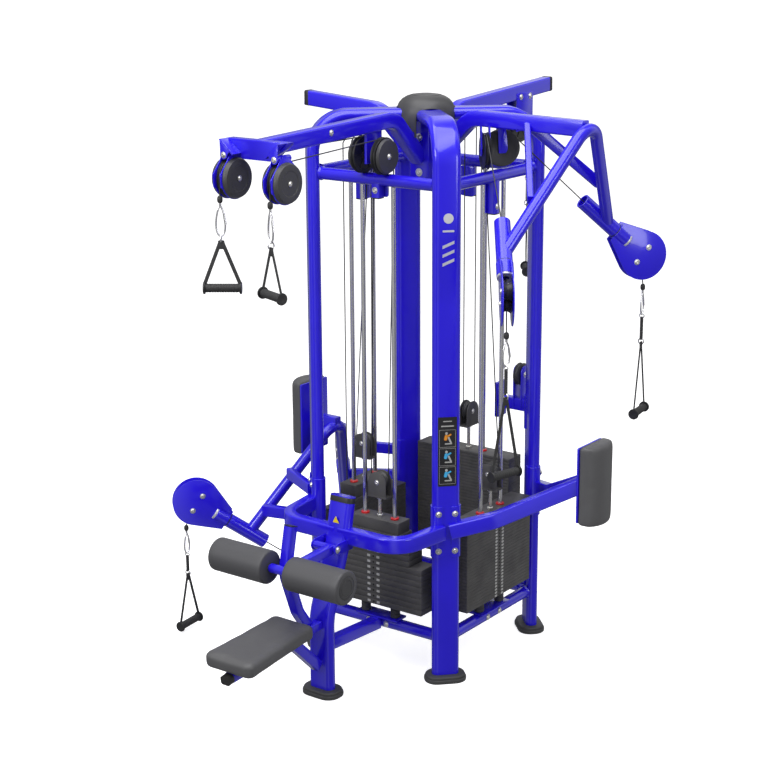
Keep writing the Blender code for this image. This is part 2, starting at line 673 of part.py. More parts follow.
def build_seat():
    """Seat frame with its curved adjuster tube, the pad, the roller arm and the two rollers."""
    lift = UPRIGHT_PLANE
    front = POST_FOOT_OUT + TUBE_THIN / 2.0 + FIT
    path = [(0.898, 0.772), (0.938, 0.588), (0.868, 0.400), (0.802, RAIL_Z - 0.004)]
    frame = turned(bent_tube("column", path, 0.12, 0.042, 0.042, 0.9, steps=4), lift)
    turned(frame, Matrix.Translation((0.0, -0.018, 0.0)))
    fall = 0.575 * math.tan(math.radians(SEAT_TILT))
    rail = bar("rail", (front + 0.0015, 0.0, RAIL_Z), (front + 0.575, 0.0, RAIL_Z - fall), 0.044, RAIL_TALL)
    strut = bar("strut", (0.930, 0.0, RAIL_Z - 0.022), (front - 0.02, 0.0, 0.105), 0.040, 0.045)
    trim = block("trim", (0.4, -0.2, 0.0), (front, 0.2, RAIL_Z))
    weld(frame, rail, cut(strut, trim))
    finish(frame, "seat_frame", station("pulldown"), paint)

    outline = [(-0.215, -0.108), (-0.215, 0.108), (0.215, 0.125), (0.215, -0.125)]
    pad = softened(prism("pad", outline, SEAT_THICK / 2.0), 0.018, 2)
    tilt = Matrix.Rotation(math.radians(SEAT_TILT), 4, "Y")
    place = Matrix.Translation((1.113, 0.0, SEAT_TOP_Z - SEAT_THICK / 2.0)) @ tilt
    finish(pad, "seat_pad", station("pulldown") @ place, vinyl)

    ends = [(ARM_PIVOT_OUT, side * YOKE_HALF, ARM_PIVOT_Z) for side in (-1.0, 1.0)]
    yoke = rod("yoke", *ends, 0.017)
    arm = bar("arm", (ARM_PIVOT_OUT, 0.028, ARM_PIVOT_Z), (ROLLER_OUT, 0.028, ROLLER_Z), 0.038, 0.038)
    reach = ROLLER_START + ROLLER_LENGTH
    axle = rod("axle", (ROLLER_OUT, -reach + 0.01, ROLLER_Z), (ROLLER_OUT, reach - 0.01, ROLLER_Z), 0.0125)
    cross = rod("cross", (ROLLER_OUT, -0.048, ROLLER_Z), (ROLLER_OUT, 0.048, ROLLER_Z), 0.019)
    weld(arm, yoke, cross, axle)
    pivot = station("pulldown") @ Vector((ARM_PIVOT_OUT, 0.0, ARM_PIVOT_Z))
    finish(arm, "roller_arm", station("pulldown"), paint, pivot)

    for name, side in (("roller_left", -1.0), ("roller_right", 1.0)):
        near = side * (ROLLER_START + FIT)
        far = side * (ROLLER_START + ROLLER_LENGTH)
        foam = rod("foam", (ROLLER_OUT, near, ROLLER_Z), (ROLLER_OUT, far, ROLLER_Z), ROLLER_R, 20)
        foam = softened(foam, 0.010, 1)
        stop = (ROLLER_OUT, far - side * 0.008, ROLLER_Z)
        cut(foam, rod("bore", (ROLLER_OUT, 0.0, ROLLER_Z), stop, 0.0135))
        centre = station("pulldown") @ Vector((ROLLER_OUT, (near + far) / 2.0, ROLLER_Z))
        finish(foam, name, station("pulldown"), vinyl, centre)


def build_pads():
    """Half-round pads with a flat back: one on the rising bars, one on the low arch's plate."""
    corners = [(0.0, -PAD_HALF), *ring_points((-0.058, 0.0), 0.1405, -40.0, 40.0, 8), (0.0, PAD_HALF)]
    for name, side, out, low in (("pad_high", "high", 0.8145, 0.698), ("pad_row", "row", 0.6205, 0.737)):
        pad = softened(prism("pad", corners, PAD_TALL / 2.0), 0.008)
        place = Matrix.Translation((out, 0.0, low + PAD_TALL / 2.0))
        finish(pad, name, station(side) @ place, vinyl)


# Top and half width of each block of resting plates, then of the lifting head, and its wheel's height
STACKS = {
    "pulldown": {"levels": ((0.476, PLATE_HALF_WIDE), (0.579, 0.183)),
                 "head": (0.655, 0.130), "wheel_z": 0.807},
    "high": {"levels": ((0.636, PLATE_HALF_WIDE),),
             "head": (0.658, PLATE_HALF_WIDE), "wheel_z": 0.815},
    "row": {"levels": ((0.590, PLATE_HALF_WIDE),),
            "head": (0.672, 0.130), "wheel_z": 0.833},
    "rear": {"levels": ((0.770, PLATE_HALF_WIDE),),
             "head": (0.785, PLATE_HALF_WIDE), "wheel_z": 0.958},
}


def rod_bores(low, high):
    bores = []
    for side in (-1.0, 1.0):
        at = side * ROD_HALF_GAP
        bores.append(rod("bore", (SIDE_AT, at, low), (SIDE_AT, at, high), ROD_R + ROD_CLEAR, 10))
    return bores


def build_stacks():
    """Guide rods on a tray with bumpers, the resting plates, and the lifting head of each stack."""
    for name, stack in STACKS.items():
        bar_top = BASE_TIE_Z + ROUND_TUBE_R
        tray = block("tray", (SIDE_AT - 0.040, -TRAY_HALF, bar_top + FIT),
                     (SIDE_AT + 0.040, TRAY_HALF, bar_top + FIT + TRAY_THICK))
        for side in (-1.0, 1.0):
            at = side * ROD_HALF_GAP
            rest = (SIDE_AT, at, STACK_BOTTOM_Z - FIT)
            weld(tray, rod("bumper", (SIDE_AT, at, bar_top + 0.002), rest, BUMPER_R, 10))
            weld(tray, rod("guide_rod", (SIDE_AT, at, bar_top + 0.003),
                           (SIDE_AT, at, TOP_TIE_Z - ROUND_TUBE_R - FIT), ROD_R, 10))
        finish(tray, "guide_rods_" + name, station(name), chrome)

        low = STACK_BOTTOM_Z
        plates = None
        for level, half in stack["levels"]:
            start = low if plates is None else low - OVERLAP
            layer = block("layer", (SIDE_AT - PLATE_HALF_DEEP, -half, start),
                          (SIDE_AT + PLATE_HALF_DEEP, half, level))
            plates = layer if plates is None else weld(plates, layer)
            low = level
        cut(plates, *rod_bores(STACK_BOTTOM_Z - 0.02, low + 0.02))
        finish(plates, "stack_plates_" + name, station(name), iron)

        top, half = stack["head"]
        head = block("head", (SIDE_AT - PLATE_HALF_DEEP, -half, low + FIT),
                     (SIDE_AT + PLATE_HALF_DEEP, half, top))
        cut(head, *rod_bores(low - 0.02, top + 0.02))
        floor = stack["wheel_z"] - BLOCK_LIFT
        weld(head, rod("stem", (SIDE_AT, 0.0, top - 0.002), (SIDE_AT, 0.0, floor + 0.005), STEM_R, 8))
        wheel_block = lifting_block(stack["wheel_z"])
        if name == "pulldown":
            turn = Matrix.Rotation(math.radians(90.0), 4, "Z")
            spot = Matrix.Translation((SIDE_AT, 0.0, 0.0))
            turned(wheel_block, spot @ turn @ spot.inverted())
        weld(head, wheel_block)
        finish(head, "stack_head_" + name, station(name), iron)


def lifting_block(centre):
    """Housing of two cheeks on a floor, with the wheel that the cable passes under."""
    low = centre - BLOCK_LIFT
    frame = block("floor", (SIDE_AT - 0.047, -0.0225, low), (SIDE_AT + 0.047, 0.0225, low + 0.008))
    outline = [(-0.046, low + 0.002), (0.046, low + 0.002),
               *ring_points((0.0, centre), 0.046, 0.0, 180.0, 8)]
    for side in (-1.0, 1.0):
        cheek = turned(prism("cheek", outline, 0.002), UPRIGHT_PLANE)
        weld(frame, turned(cheek, Matrix.Translation((SIDE_AT, side * 0.020, 0.0))))
    wheel = rod("wheel", (SIDE_AT, -0.019, centre), (SIDE_AT, 0.019, centre), BLOCK_WHEEL_R, 16)
    return weld(frame, wheel)


def build_swivels():
    """Swinging pulley brackets of the pulldown crossbar, each with its own wheel."""
    for name, side in (("left", -1.0), ("right", 1.0)):
        at = side * SWIVEL_SIDE
        frame = rod("barrel", (PIVOT_OUT - 0.072, at, PIVOT_Z), (PIVOT_OUT + 0.0075, at, PIVOT_Z), 0.0122)
        weld(frame, block("saddle", (PIVOT_OUT - 0.062, at - 0.0165, PIVOT_Z - 0.010),
                          (PIVOT_OUT - 0.014, at + 0.0165, PIVOT_Z + 0.009)))
        outline = [(-0.022, 0.088), (-0.060, 0.052), *ring_points((0.0, 0.0), 0.079, 140.0, 335.0, 10),
                   (0.082, -0.028), (0.086, 0.020), (0.046, 0.066), (0.030, 0.092)]
        for cheek_side in (-1.0, 1.0):
            cheek = turned(prism("cheek", outline, 0.002), UPRIGHT_PLANE)
            spot = (SWIVEL_OUT, at + cheek_side * 0.0175, SWIVEL_Z)
            cheek = turned(cheek, Matrix.Translation(spot))
            weld(frame, cheek)
            cover = rod("cover", (SWIVEL_OUT, at + cheek_side * 0.0185, SWIVEL_Z),
                        (SWIVEL_OUT, at + cheek_side * 0.0380, SWIVEL_Z), 0.077, 18, 0.070)
            weld(frame, cover)
        ends = [(SWIVEL_OUT, at + reach, SWIVEL_Z) for reach in (-0.018, 0.018)]
        weld(frame, rod("axle", *ends, AXLE_R, 9))
        pivot = station("pulldown") @ Vector((PIVOT_OUT, at, PIVOT_Z))
        finish(frame, "swivel_pulldown_" + name, station("pulldown"), paint, pivot)
        build_wheel("wheel_pulldown_" + name, "pulldown", (SWIVEL_OUT, at, SWIVEL_Z))


def build_wheel(name, side, centre, half=WHEEL_HALF):
    """Grooved cable pulley turning about the station's side axis."""
    bore = AXLE_R + 0.0008
    profile = [(bore, half), (WHEEL_R, half), (GROOVE_R, 0.0035), (GROOVE_R, -0.0035),
               (WHEEL_R, -half), (bore, -half)]
    wheel = lathe("wheel", profile, 18)
    turned(wheel, Matrix.Translation(centre) @ Matrix.Rotation(math.radians(90.0), 4, "X"))
    finish(wheel, name, station(side), plastic, station(side) @ Vector(centre))


def build_hub_wheels():
    """Two large wheels under the pulldown boom and one under the rear boom's end."""
    for name, side in (("left", -1.0), ("right", 1.0)):
        build_wheel("wheel_hub_" + name, "pulldown", (HUB_WHEEL_OUT, side * HUB_WHEEL_SIDE, HUB_WHEEL_Z))
    build_wheel("wheel_rear", "rear", REAR_WHEEL)


def build_heads():
    """Fan-shaped swivel heads: a bored neck, two cheeks and two small wheels between them."""
    outline = [(0.002, FAN_NECK), (0.002, -FAN_NECK),
               *ring_points((FAN_OUT, 0.0), FAN_R, -115.0, 115.0, 12)]
    for side, inner_end, aim in (("high", HIGH_GUIDE, HIGH_AIM), ("row", ROW_GUIDE, ROW_AIM)):
        for name, hand in (("left", -1.0), ("right", 1.0)):
            neck = rod("neck", (0.001, 0.0, 0.0), (0.076, 0.0, 0.0), GUIDE_R + 0.002)
            for cheek_side in (-1.0, 1.0):
                cheek = prism("cheek", outline, FAN_THICK / 2.0)
                offset = cheek_side * (FAN_HALF - FAN_THICK / 2.0)
                weld(neck, turned(cheek, Matrix.Translation((0.0, 0.0, offset))))
            for lift in (-1.0, 1.0):
                middle = (FAN_OUT - 0.005, lift * HEAD_WHEEL_APART)
                wheel = rod("wheel", (*middle, -0.0200), (*middle, 0.0200), HEAD_WHEEL_R, 12)
                weld(neck, wheel)
            cut(neck, rod("bore", (-0.02, 0.0, 0.0), (0.100, 0.0, 0.0), GUIDE_BORE_R - 0.010, 8))
            along = Vector((aim.x, hand * aim.y, aim.z))
            ring = Vector((inner_end.x, hand * inner_end.y, inner_end.z)) + along * GUIDE_LENGTH
            flat = along.cross(Vector((0.0, 0.0, 1.0))).normalized()
            lift_axis = flat.cross(along)
            frame = Matrix((along, lift_axis, flat)).transposed().to_4x4()
            pivot = station(side) @ ring
            place = station(side) @ Matrix.Translation(ring) @ frame
            finish(neck, "head_" + side + "_" + name, place, paint, pivot)


def handle(drop, strap_top):
    """Cable stop, snap hook, triangular strap and grip; the grip runs along local X."""
    half = GRIP_HALF + 0.004
    grip_z = -drop
    outer = [(-half, grip_z - 0.002), (half, grip_z - 0.002), (0.009, -strap_top), (-0.009, -strap_top)]
    inner = [(-half + 0.016, grip_z + 0.004), (half - 0.016, grip_z + 0.004), (0.0, -strap_top - 0.055)]
    strap = turned(prism("strap", outer, 0.0020, (inner,)), UPRIGHT_PLANE)
    weld(strap, rod("link", (0.0, 0.0, -strap_top - 0.004), (0.0, 0.0, -0.020), 0.0045, 6))
    weld(strap, rod("stop", (0.0, 0.0, -0.026), (0.0, 0.0, 0.0), 0.0105, 8, 0.0085))
    weld(strap, rod("grip", (-GRIP_HALF, 0.0, grip_z), (GRIP_HALF, 0.0, grip_z), GRIP_R, 10))
    for side in (-1.0, 1.0):
        ends = [(side * (GRIP_HALF + reach), 0.0, grip_z) for reach in (-0.004, 0.004)]
        flange = rod("flange", *ends, FLANGE_R, 10)
        weld(strap, flange)
    return strap


HANDLES = {
    "handle_pulldown_left": ("pulldown", (1.1400, -0.120, PULLDOWN_STOP_Z), 0.345, 0.170, 35.0),
    "handle_pulldown_right": ("pulldown", (1.1400, 0.120, PULLDOWN_STOP_Z), 0.345, 0.170, -20.0),
    "handle_high_left": ("high", (0.745, -0.534, 1.590), 0.556, 0.255, 75.0),
    "handle_high_right": ("high", (0.745, 0.534, 1.590), 0.556, 0.255, 99.0),
    "handle_row_left": ("row", (0.903, -0.556, 0.490), 0.458, 0.230, 96.0),
    "handle_row_right": ("row", (0.903, 0.556, 0.490), 0.458, 0.230, 96.0),
    "handle_rear": ("rear", (0.7980, 0.0, REAR_STOP_Z), 0.556, 0.255, 125.0),
}


def build_handles():
    for name, (side, top, drop, strap_top, yaw) in HANDLES.items():
        thing = handle(drop, strap_top)
        middle = station(side) @ Vector(top)
        place = Matrix.Translation(middle) @ Matrix.Rotation(math.radians(yaw), 4, "Z")
        finish(thing, name, place, rubber, middle)


def arc_points(centre, across, up, radius, first, last, steps):
    """Arc about a centre, in the plane of two unit vectors, angles in degrees."""
    points = []
    for index in range(steps + 1):
        angle = math.radians(first + (last - first) * index / steps)
        points.append(centre + across * (radius * math.cos(angle)) + up * (radius * math.sin(angle)))
    return points


def mirrored(points):
    """The same run on the station's other hand, walked backwards."""
    return [Vector((point.x, -point.y, point.z)) for point in reversed(points)]


def finish_cable(name, points):
    finish(round_tube("cable", points, CABLE_R), "cable_" + name, station(name), plastic)


def build_cables():
    """Steel cables along their fixed runs, from the lifting block over the upper wheels and out."""
    up = Vector((0.0, 0.0, 1.0))
    out = Vector((1.0, 0.0, 0.0))
    across = Vector((0.0, 1.0, 0.0))
    lay = GROOVE_R + CABLE_R + 0.0016
    block_lay = BLOCK_WHEEL_R + CABLE_R + FIT

    far = Vector((SWIVEL_OUT, SWIVEL_SIDE, SWIVEL_Z))
    near = Vector((HUB_WHEEL_OUT, HUB_WHEEL_SIDE, HUB_WHEEL_Z))
    run = [Vector((far.x + lay, far.y, PULLDOWN_STOP_Z + FIT))]
    run += arc_points(far, out, up, lay, 0.0, 90.0, 5)
    run += arc_points(near, out, up, lay, 90.0, 180.0, 5)
    low = Vector((SIDE_AT, 0.0, STACKS["pulldown"]["wheel_z"]))
    loop = arc_points(low, across, up, block_lay, 0.0, -180.0, 8)
    finish_cable("pulldown", run + loop + mirrored(run))

    level = Vector((HIGH_GUIDE.x - HIGH_WHEEL.x, HIGH_GUIDE.y - HIGH_WHEEL.y, 0.0))
    fall = math.degrees(math.atan2(HIGH_WHEEL.z - HIGH_GUIDE.z, level.length))
    lift = math.degrees(math.asin(lay / math.hypot(HIGH_WHEEL.z - HIGH_GUIDE.z, level.length)))
    level.normalize()
    run = [HIGH_GUIDE + HIGH_AIM * (GUIDE_LENGTH + 0.085), HIGH_GUIDE + HIGH_AIM * 0.020]
    run += arc_points(HIGH_WHEEL, level, up, lay, 90.0 - fall - lift, 180.0, 6)
    low = Vector((SIDE_AT, 0.0, STACKS["high"]["wheel_z"]))
    loop = arc_points(low, out, up, block_lay, 180.0, 360.0, 8)
    finish_cable("high", run + loop + mirrored(run))

    near = Vector((SIDE_AT - block_lay + lay, 0.0, HUB_WHEEL_Z))
    run = [REAR_WHEEL + out * lay + up * (REAR_STOP_Z + FIT - REAR_WHEEL.z)]
    run += arc_points(REAR_WHEEL, out, up, lay, 0.0, 90.0, 5)
    run += arc_points(near, out, up, lay, 90.0, 180.0, 5)
    low = Vector((SIDE_AT, 0.0, STACKS["rear"]["wheel_z"]))
    loop = arc_points(low, out, up, block_lay, 180.0, 360.0, 8)
    finish_cable("rear", run + loop + [low + out * block_lay + up * REAR_ANCHOR_RISE])

    low = Vector((SIDE_AT, 0.0, STACKS["row"]["wheel_z"]))
    run = [ROW_GUIDE + ROW_AIM * (GUIDE_LENGTH + 0.085), ROW_GUIDE + ROW_AIM * 0.020,
           ROW_GUIDE - ROW_AIM * 0.250, Vector((ROW_RISE_OUT, 0.030, 0.300)),
           Vector((ROW_RISE_OUT, 0.030, 2.160)), Vector((ROW_RISE_OUT - 0.040, 0.027, 2.215)),
           Vector((SIDE_AT - block_lay + 0.040, 0.012, 2.215)),
           Vector((SIDE_AT - block_lay, 0.008, 2.170))]
    loop = arc_points(low, out, up, block_lay, 180.0, 360.0, 8)
    finish_cable("row", run + loop + mirrored(run))


remove_everything()
parts = bpy.data.collections.new("four_station_cable_machine")
bpy.context.scene.collection.children.link(parts)
paint = make_material("blue_paint", BLUE, 0.0, 0.22)
plastic = make_material("dark_plastic", DARK, 0.0, 0.45)
rubber = make_material("black_rubber", BLACK, 0.0, 0.60)
vinyl = make_material("grey_vinyl", DARK, 0.0, 0.55)
iron = make_material("black_iron", BLACK, 0.3, 0.50)
chrome = make_material("chrome", CHROME, 1.0, 0.15)
build_corners()
build_feet()
build_hub()
build_booms()
build_high_boom()
build_row_arm()
build_pulldown_mast()
build_high_belt()
build_rear_bracket()
build_seat()
build_pads()
build_stacks()
build_swivels()
build_hub_wheels()
build_heads()
build_handles()
build_cables()
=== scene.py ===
"""Four-station cable gym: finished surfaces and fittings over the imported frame."""

import json
import math

import bmesh
import bpy
from mathutils import Matrix, Vector
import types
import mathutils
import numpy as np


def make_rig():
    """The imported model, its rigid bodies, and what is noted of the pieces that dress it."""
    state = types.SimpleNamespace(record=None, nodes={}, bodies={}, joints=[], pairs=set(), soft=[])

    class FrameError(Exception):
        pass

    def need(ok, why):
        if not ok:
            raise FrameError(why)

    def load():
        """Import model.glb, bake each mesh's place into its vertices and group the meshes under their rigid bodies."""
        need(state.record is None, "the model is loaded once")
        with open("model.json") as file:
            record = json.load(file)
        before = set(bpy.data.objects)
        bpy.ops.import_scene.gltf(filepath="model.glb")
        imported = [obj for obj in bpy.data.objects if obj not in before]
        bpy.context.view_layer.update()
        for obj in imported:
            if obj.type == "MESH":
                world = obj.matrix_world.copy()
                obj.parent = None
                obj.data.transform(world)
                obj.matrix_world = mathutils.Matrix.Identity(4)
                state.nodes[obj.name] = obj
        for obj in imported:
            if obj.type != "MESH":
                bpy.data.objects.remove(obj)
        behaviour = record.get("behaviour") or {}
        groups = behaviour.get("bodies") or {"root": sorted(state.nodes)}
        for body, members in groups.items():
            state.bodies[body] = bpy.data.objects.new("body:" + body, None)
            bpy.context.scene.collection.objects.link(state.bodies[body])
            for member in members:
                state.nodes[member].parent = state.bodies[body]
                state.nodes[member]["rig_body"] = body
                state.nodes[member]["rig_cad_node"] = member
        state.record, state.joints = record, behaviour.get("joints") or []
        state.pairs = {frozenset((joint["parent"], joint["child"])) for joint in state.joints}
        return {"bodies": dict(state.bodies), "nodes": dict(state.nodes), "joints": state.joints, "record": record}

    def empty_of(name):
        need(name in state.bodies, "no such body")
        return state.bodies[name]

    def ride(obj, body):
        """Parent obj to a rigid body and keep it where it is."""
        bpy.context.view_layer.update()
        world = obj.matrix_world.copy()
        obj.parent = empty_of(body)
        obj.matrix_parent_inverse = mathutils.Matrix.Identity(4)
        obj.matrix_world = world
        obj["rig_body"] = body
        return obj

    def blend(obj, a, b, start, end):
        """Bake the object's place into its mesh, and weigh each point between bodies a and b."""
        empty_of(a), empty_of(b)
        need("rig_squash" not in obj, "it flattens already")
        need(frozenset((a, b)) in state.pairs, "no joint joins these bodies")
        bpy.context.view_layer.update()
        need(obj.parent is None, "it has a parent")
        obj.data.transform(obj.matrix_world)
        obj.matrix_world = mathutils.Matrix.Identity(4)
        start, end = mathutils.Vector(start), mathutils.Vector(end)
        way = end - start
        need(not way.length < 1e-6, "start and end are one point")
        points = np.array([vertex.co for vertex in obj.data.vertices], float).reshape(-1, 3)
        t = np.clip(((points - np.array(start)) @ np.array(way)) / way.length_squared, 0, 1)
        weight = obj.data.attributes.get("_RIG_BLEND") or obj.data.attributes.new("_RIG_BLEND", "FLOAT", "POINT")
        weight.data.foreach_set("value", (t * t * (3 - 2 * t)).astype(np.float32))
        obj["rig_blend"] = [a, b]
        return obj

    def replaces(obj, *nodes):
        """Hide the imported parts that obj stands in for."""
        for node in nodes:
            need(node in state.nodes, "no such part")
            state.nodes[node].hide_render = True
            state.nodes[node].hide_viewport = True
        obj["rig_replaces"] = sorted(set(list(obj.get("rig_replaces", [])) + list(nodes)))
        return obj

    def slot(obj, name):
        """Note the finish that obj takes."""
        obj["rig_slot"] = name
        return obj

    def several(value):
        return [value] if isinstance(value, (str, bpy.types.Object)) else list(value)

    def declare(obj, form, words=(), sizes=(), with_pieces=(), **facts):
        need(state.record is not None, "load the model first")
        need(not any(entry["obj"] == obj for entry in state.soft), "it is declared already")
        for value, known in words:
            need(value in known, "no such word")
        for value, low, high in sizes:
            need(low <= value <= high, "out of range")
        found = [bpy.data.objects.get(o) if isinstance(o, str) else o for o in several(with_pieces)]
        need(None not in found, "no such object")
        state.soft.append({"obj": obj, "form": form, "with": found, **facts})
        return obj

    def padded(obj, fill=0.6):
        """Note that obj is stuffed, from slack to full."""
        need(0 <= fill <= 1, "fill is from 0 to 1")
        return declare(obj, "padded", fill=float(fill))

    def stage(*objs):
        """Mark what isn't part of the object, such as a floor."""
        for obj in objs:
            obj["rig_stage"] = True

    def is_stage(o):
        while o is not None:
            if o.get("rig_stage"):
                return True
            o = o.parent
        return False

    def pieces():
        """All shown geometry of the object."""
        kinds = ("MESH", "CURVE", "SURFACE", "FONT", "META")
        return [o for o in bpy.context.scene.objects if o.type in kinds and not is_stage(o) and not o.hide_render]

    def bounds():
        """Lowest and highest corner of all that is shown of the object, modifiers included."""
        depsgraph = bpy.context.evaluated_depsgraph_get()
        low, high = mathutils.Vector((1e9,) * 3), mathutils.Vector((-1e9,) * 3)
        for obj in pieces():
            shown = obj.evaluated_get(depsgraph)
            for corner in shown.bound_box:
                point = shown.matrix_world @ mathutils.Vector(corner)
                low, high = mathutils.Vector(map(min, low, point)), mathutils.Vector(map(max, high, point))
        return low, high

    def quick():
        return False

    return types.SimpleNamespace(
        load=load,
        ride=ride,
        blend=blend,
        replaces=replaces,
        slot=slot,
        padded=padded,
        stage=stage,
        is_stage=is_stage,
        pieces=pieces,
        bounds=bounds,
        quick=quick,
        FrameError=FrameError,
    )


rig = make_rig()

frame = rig.load()
cad_box = [list(corner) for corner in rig.bounds()]
scene = bpy.context.scene


# --- Viewpoint -------------------------------------------------------------------------------
# A long lens at chest height, looking slightly down on the front upright from between the
# seated station and the padded station.
heading = math.radians(35.16)
pitch = math.radians(14.93)
away = Vector((math.sin(heading) * math.cos(pitch), -math.cos(heading) * math.cos(pitch),
               math.sin(pitch)))
lens = bpy.data.cameras.new("chest_height_view")
lens.sensor_width = 36.0
lens.lens = 80.06
lens.shift_x = -0.04523
lens.shift_y = -0.02164
lens.clip_end = 400.0
camera = bpy.data.objects.new("chest_height_view", lens)
scene.collection.objects.link(camera)
camera.location = Vector((0.0, 0.0, 1.2)) + away * 7.4273
camera.rotation_euler = (math.pi / 2.0 - pitch, 0.0, heading)
scene.camera = camera
scene.view_settings.view_transform = "Standard"


# --- Showroom --------------------------------------------------------------------------------
# A seamless white floor under a large overhead softbox, with a key from the left of the seat
# and a weaker fill on the right, as for a catalogue picture.
def backdrop_material():
    material = bpy.data.materials.new("white_floor")
    material.use_nodes = True
    nodes = material.node_tree.nodes
    links = material.node_tree.links
    shader = nodes["Principled BSDF"]
    spot = nodes.new("ShaderNodeTexCoord")
    speckle = nodes.new("ShaderNodeTexNoise")
    speckle.inputs["Scale"].default_value = 6.0
    tint = nodes.new("ShaderNodeMix")
    tint.data_type = "RGBA"
    tint.inputs["A"].default_value = (0.93, 0.93, 0.935, 1.0)
    tint.inputs["B"].default_value = (0.95, 0.95, 0.95, 1.0)
    links.new(spot.outputs["Object"], speckle.inputs["Vector"])
    links.new(speckle.outputs["Fac"], tint.inputs["Factor"])
    links.new(tint.outputs["Result"], shader.inputs["Base Color"])
    shader.inputs["Roughness"].default_value = 0.9
    shader.inputs["Specular IOR Level"].default_value = 0.1
    shader.inputs["Emission Color"].default_value = (1.0, 1.0, 1.0, 1.0)
    shader.inputs["Emission Strength"].default_value = 0.62
    return material


ground = bmesh.new()
bmesh.ops.create_grid(ground, x_segments=1, y_segments=1, size=150.0)
bmesh.ops.translate(ground, vec=(0.0, 0.0, -0.0005), verts=ground.verts)
ground_mesh = bpy.data.meshes.new("white_floor")
ground.to_mesh(ground_mesh)
ground.free()
ground_mesh.materials.append(backdrop_material())
floor = bpy.data.objects.new("white_floor", ground_mesh)
scene.collection.objects.link(floor)
floor.visible_diffuse = False
floor.visible_glossy = False
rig.stage(floor)

world = bpy.data.worlds.new("studio_white")
world.use_nodes = True
ambient = world.node_tree.nodes["Background"]
ambient.inputs["Strength"].default_value = 0.62
facing = world.node_tree.nodes.new("ShaderNodeTexCoord")
parts_of = world.node_tree.nodes.new("ShaderNodeSeparateXYZ")
height_band = world.node_tree.nodes.new("ShaderNodeValToRGB")
height_band.color_ramp.elements[0].position = 0.30
height_band.color_ramp.elements[0].color = (0.46, 0.46, 0.47, 1.0)
height_band.color_ramp.elements[1].position = 0.85
height_band.color_ramp.elements[1].color = (1.0, 1.0, 1.0, 1.0)
raised = world.node_tree.nodes.new("ShaderNodeMapRange")
raised.inputs["From Min"].default_value = -1.0
cards = world.node_tree.nodes.new("ShaderNodeValToRGB")
cards.color_ramp.elements[0].position = 0.0
cards.color_ramp.elements[0].color = (1.0, 1.0, 1.0, 1.0)
cards.color_ramp.elements[1].position = 1.0
cards.color_ramp.elements[1].color = (0.8, 0.8, 0.8, 1.0)
for stop, value in ((0.16, 0.45), (0.30, 2.1), (0.42, 0.60), (0.60, 0.50), (0.72, 2.2), (0.86, 0.55)):
    step = cards.color_ramp.elements.new(stop)
    step.color = (value, value, value, 1.0)
shade = world.node_tree.nodes.new("ShaderNodeMix")
shade.data_type = "RGBA"
shade.blend_type = "MULTIPLY"
shade.inputs["Factor"].default_value = 1.0
path = world.node_tree.nodes.new("ShaderNodeLightPath")
seen = world.node_tree.nodes.new("ShaderNodeMix")
seen.data_type = "RGBA"
seen.inputs["B"].default_value = (1.62, 1.62, 1.62, 1.0)
sideways = world.node_tree.nodes.new("ShaderNodeMapRange")
sideways.inputs["From Min"].default_value = -1.0
for start, end in ((facing.outputs["Generated"], parts_of.inputs["Vector"]),
                   (parts_of.outputs["Z"], raised.inputs["Value"]),
                   (raised.outputs["Result"], height_band.inputs["Fac"]),
                   (parts_of.outputs["X"], sideways.inputs["Value"]),
                   (sideways.outputs["Result"], cards.inputs["Fac"]),
                   (height_band.outputs["Color"], shade.inputs["A"]),
                   (cards.outputs["Color"], shade.inputs["B"]),
                   (shade.outputs["Result"], seen.inputs["A"]),
                   (path.outputs["Is Camera Ray"], seen.inputs["Factor"]),
                   (seen.outputs["Result"], ambient.inputs["Color"])):
    world.node_tree.links.new(start, end)
scene.world = world

for name, spot, size, power in (("softbox", (0.5, -1.5, 5.2), 4.5, 190.0),
                                ("key", (-1.5, -6.0, 3.6), 2.4, 120.0),
                                ("fill", (6.0, -1.5, 2.6), 2.4, 70.0)):
    lamp = bpy.data.lights.new(name, "AREA")
    lamp.size = size
    lamp.energy = power
    light = bpy.data.objects.new(name, lamp)
    scene.collection.objects.link(light)
    light.location = spot
    light.rotation_euler = (Vector((0.0, 0.0, 1.1)) - Vector(spot)).to_track_quat("-Z", "Y").to_euler()


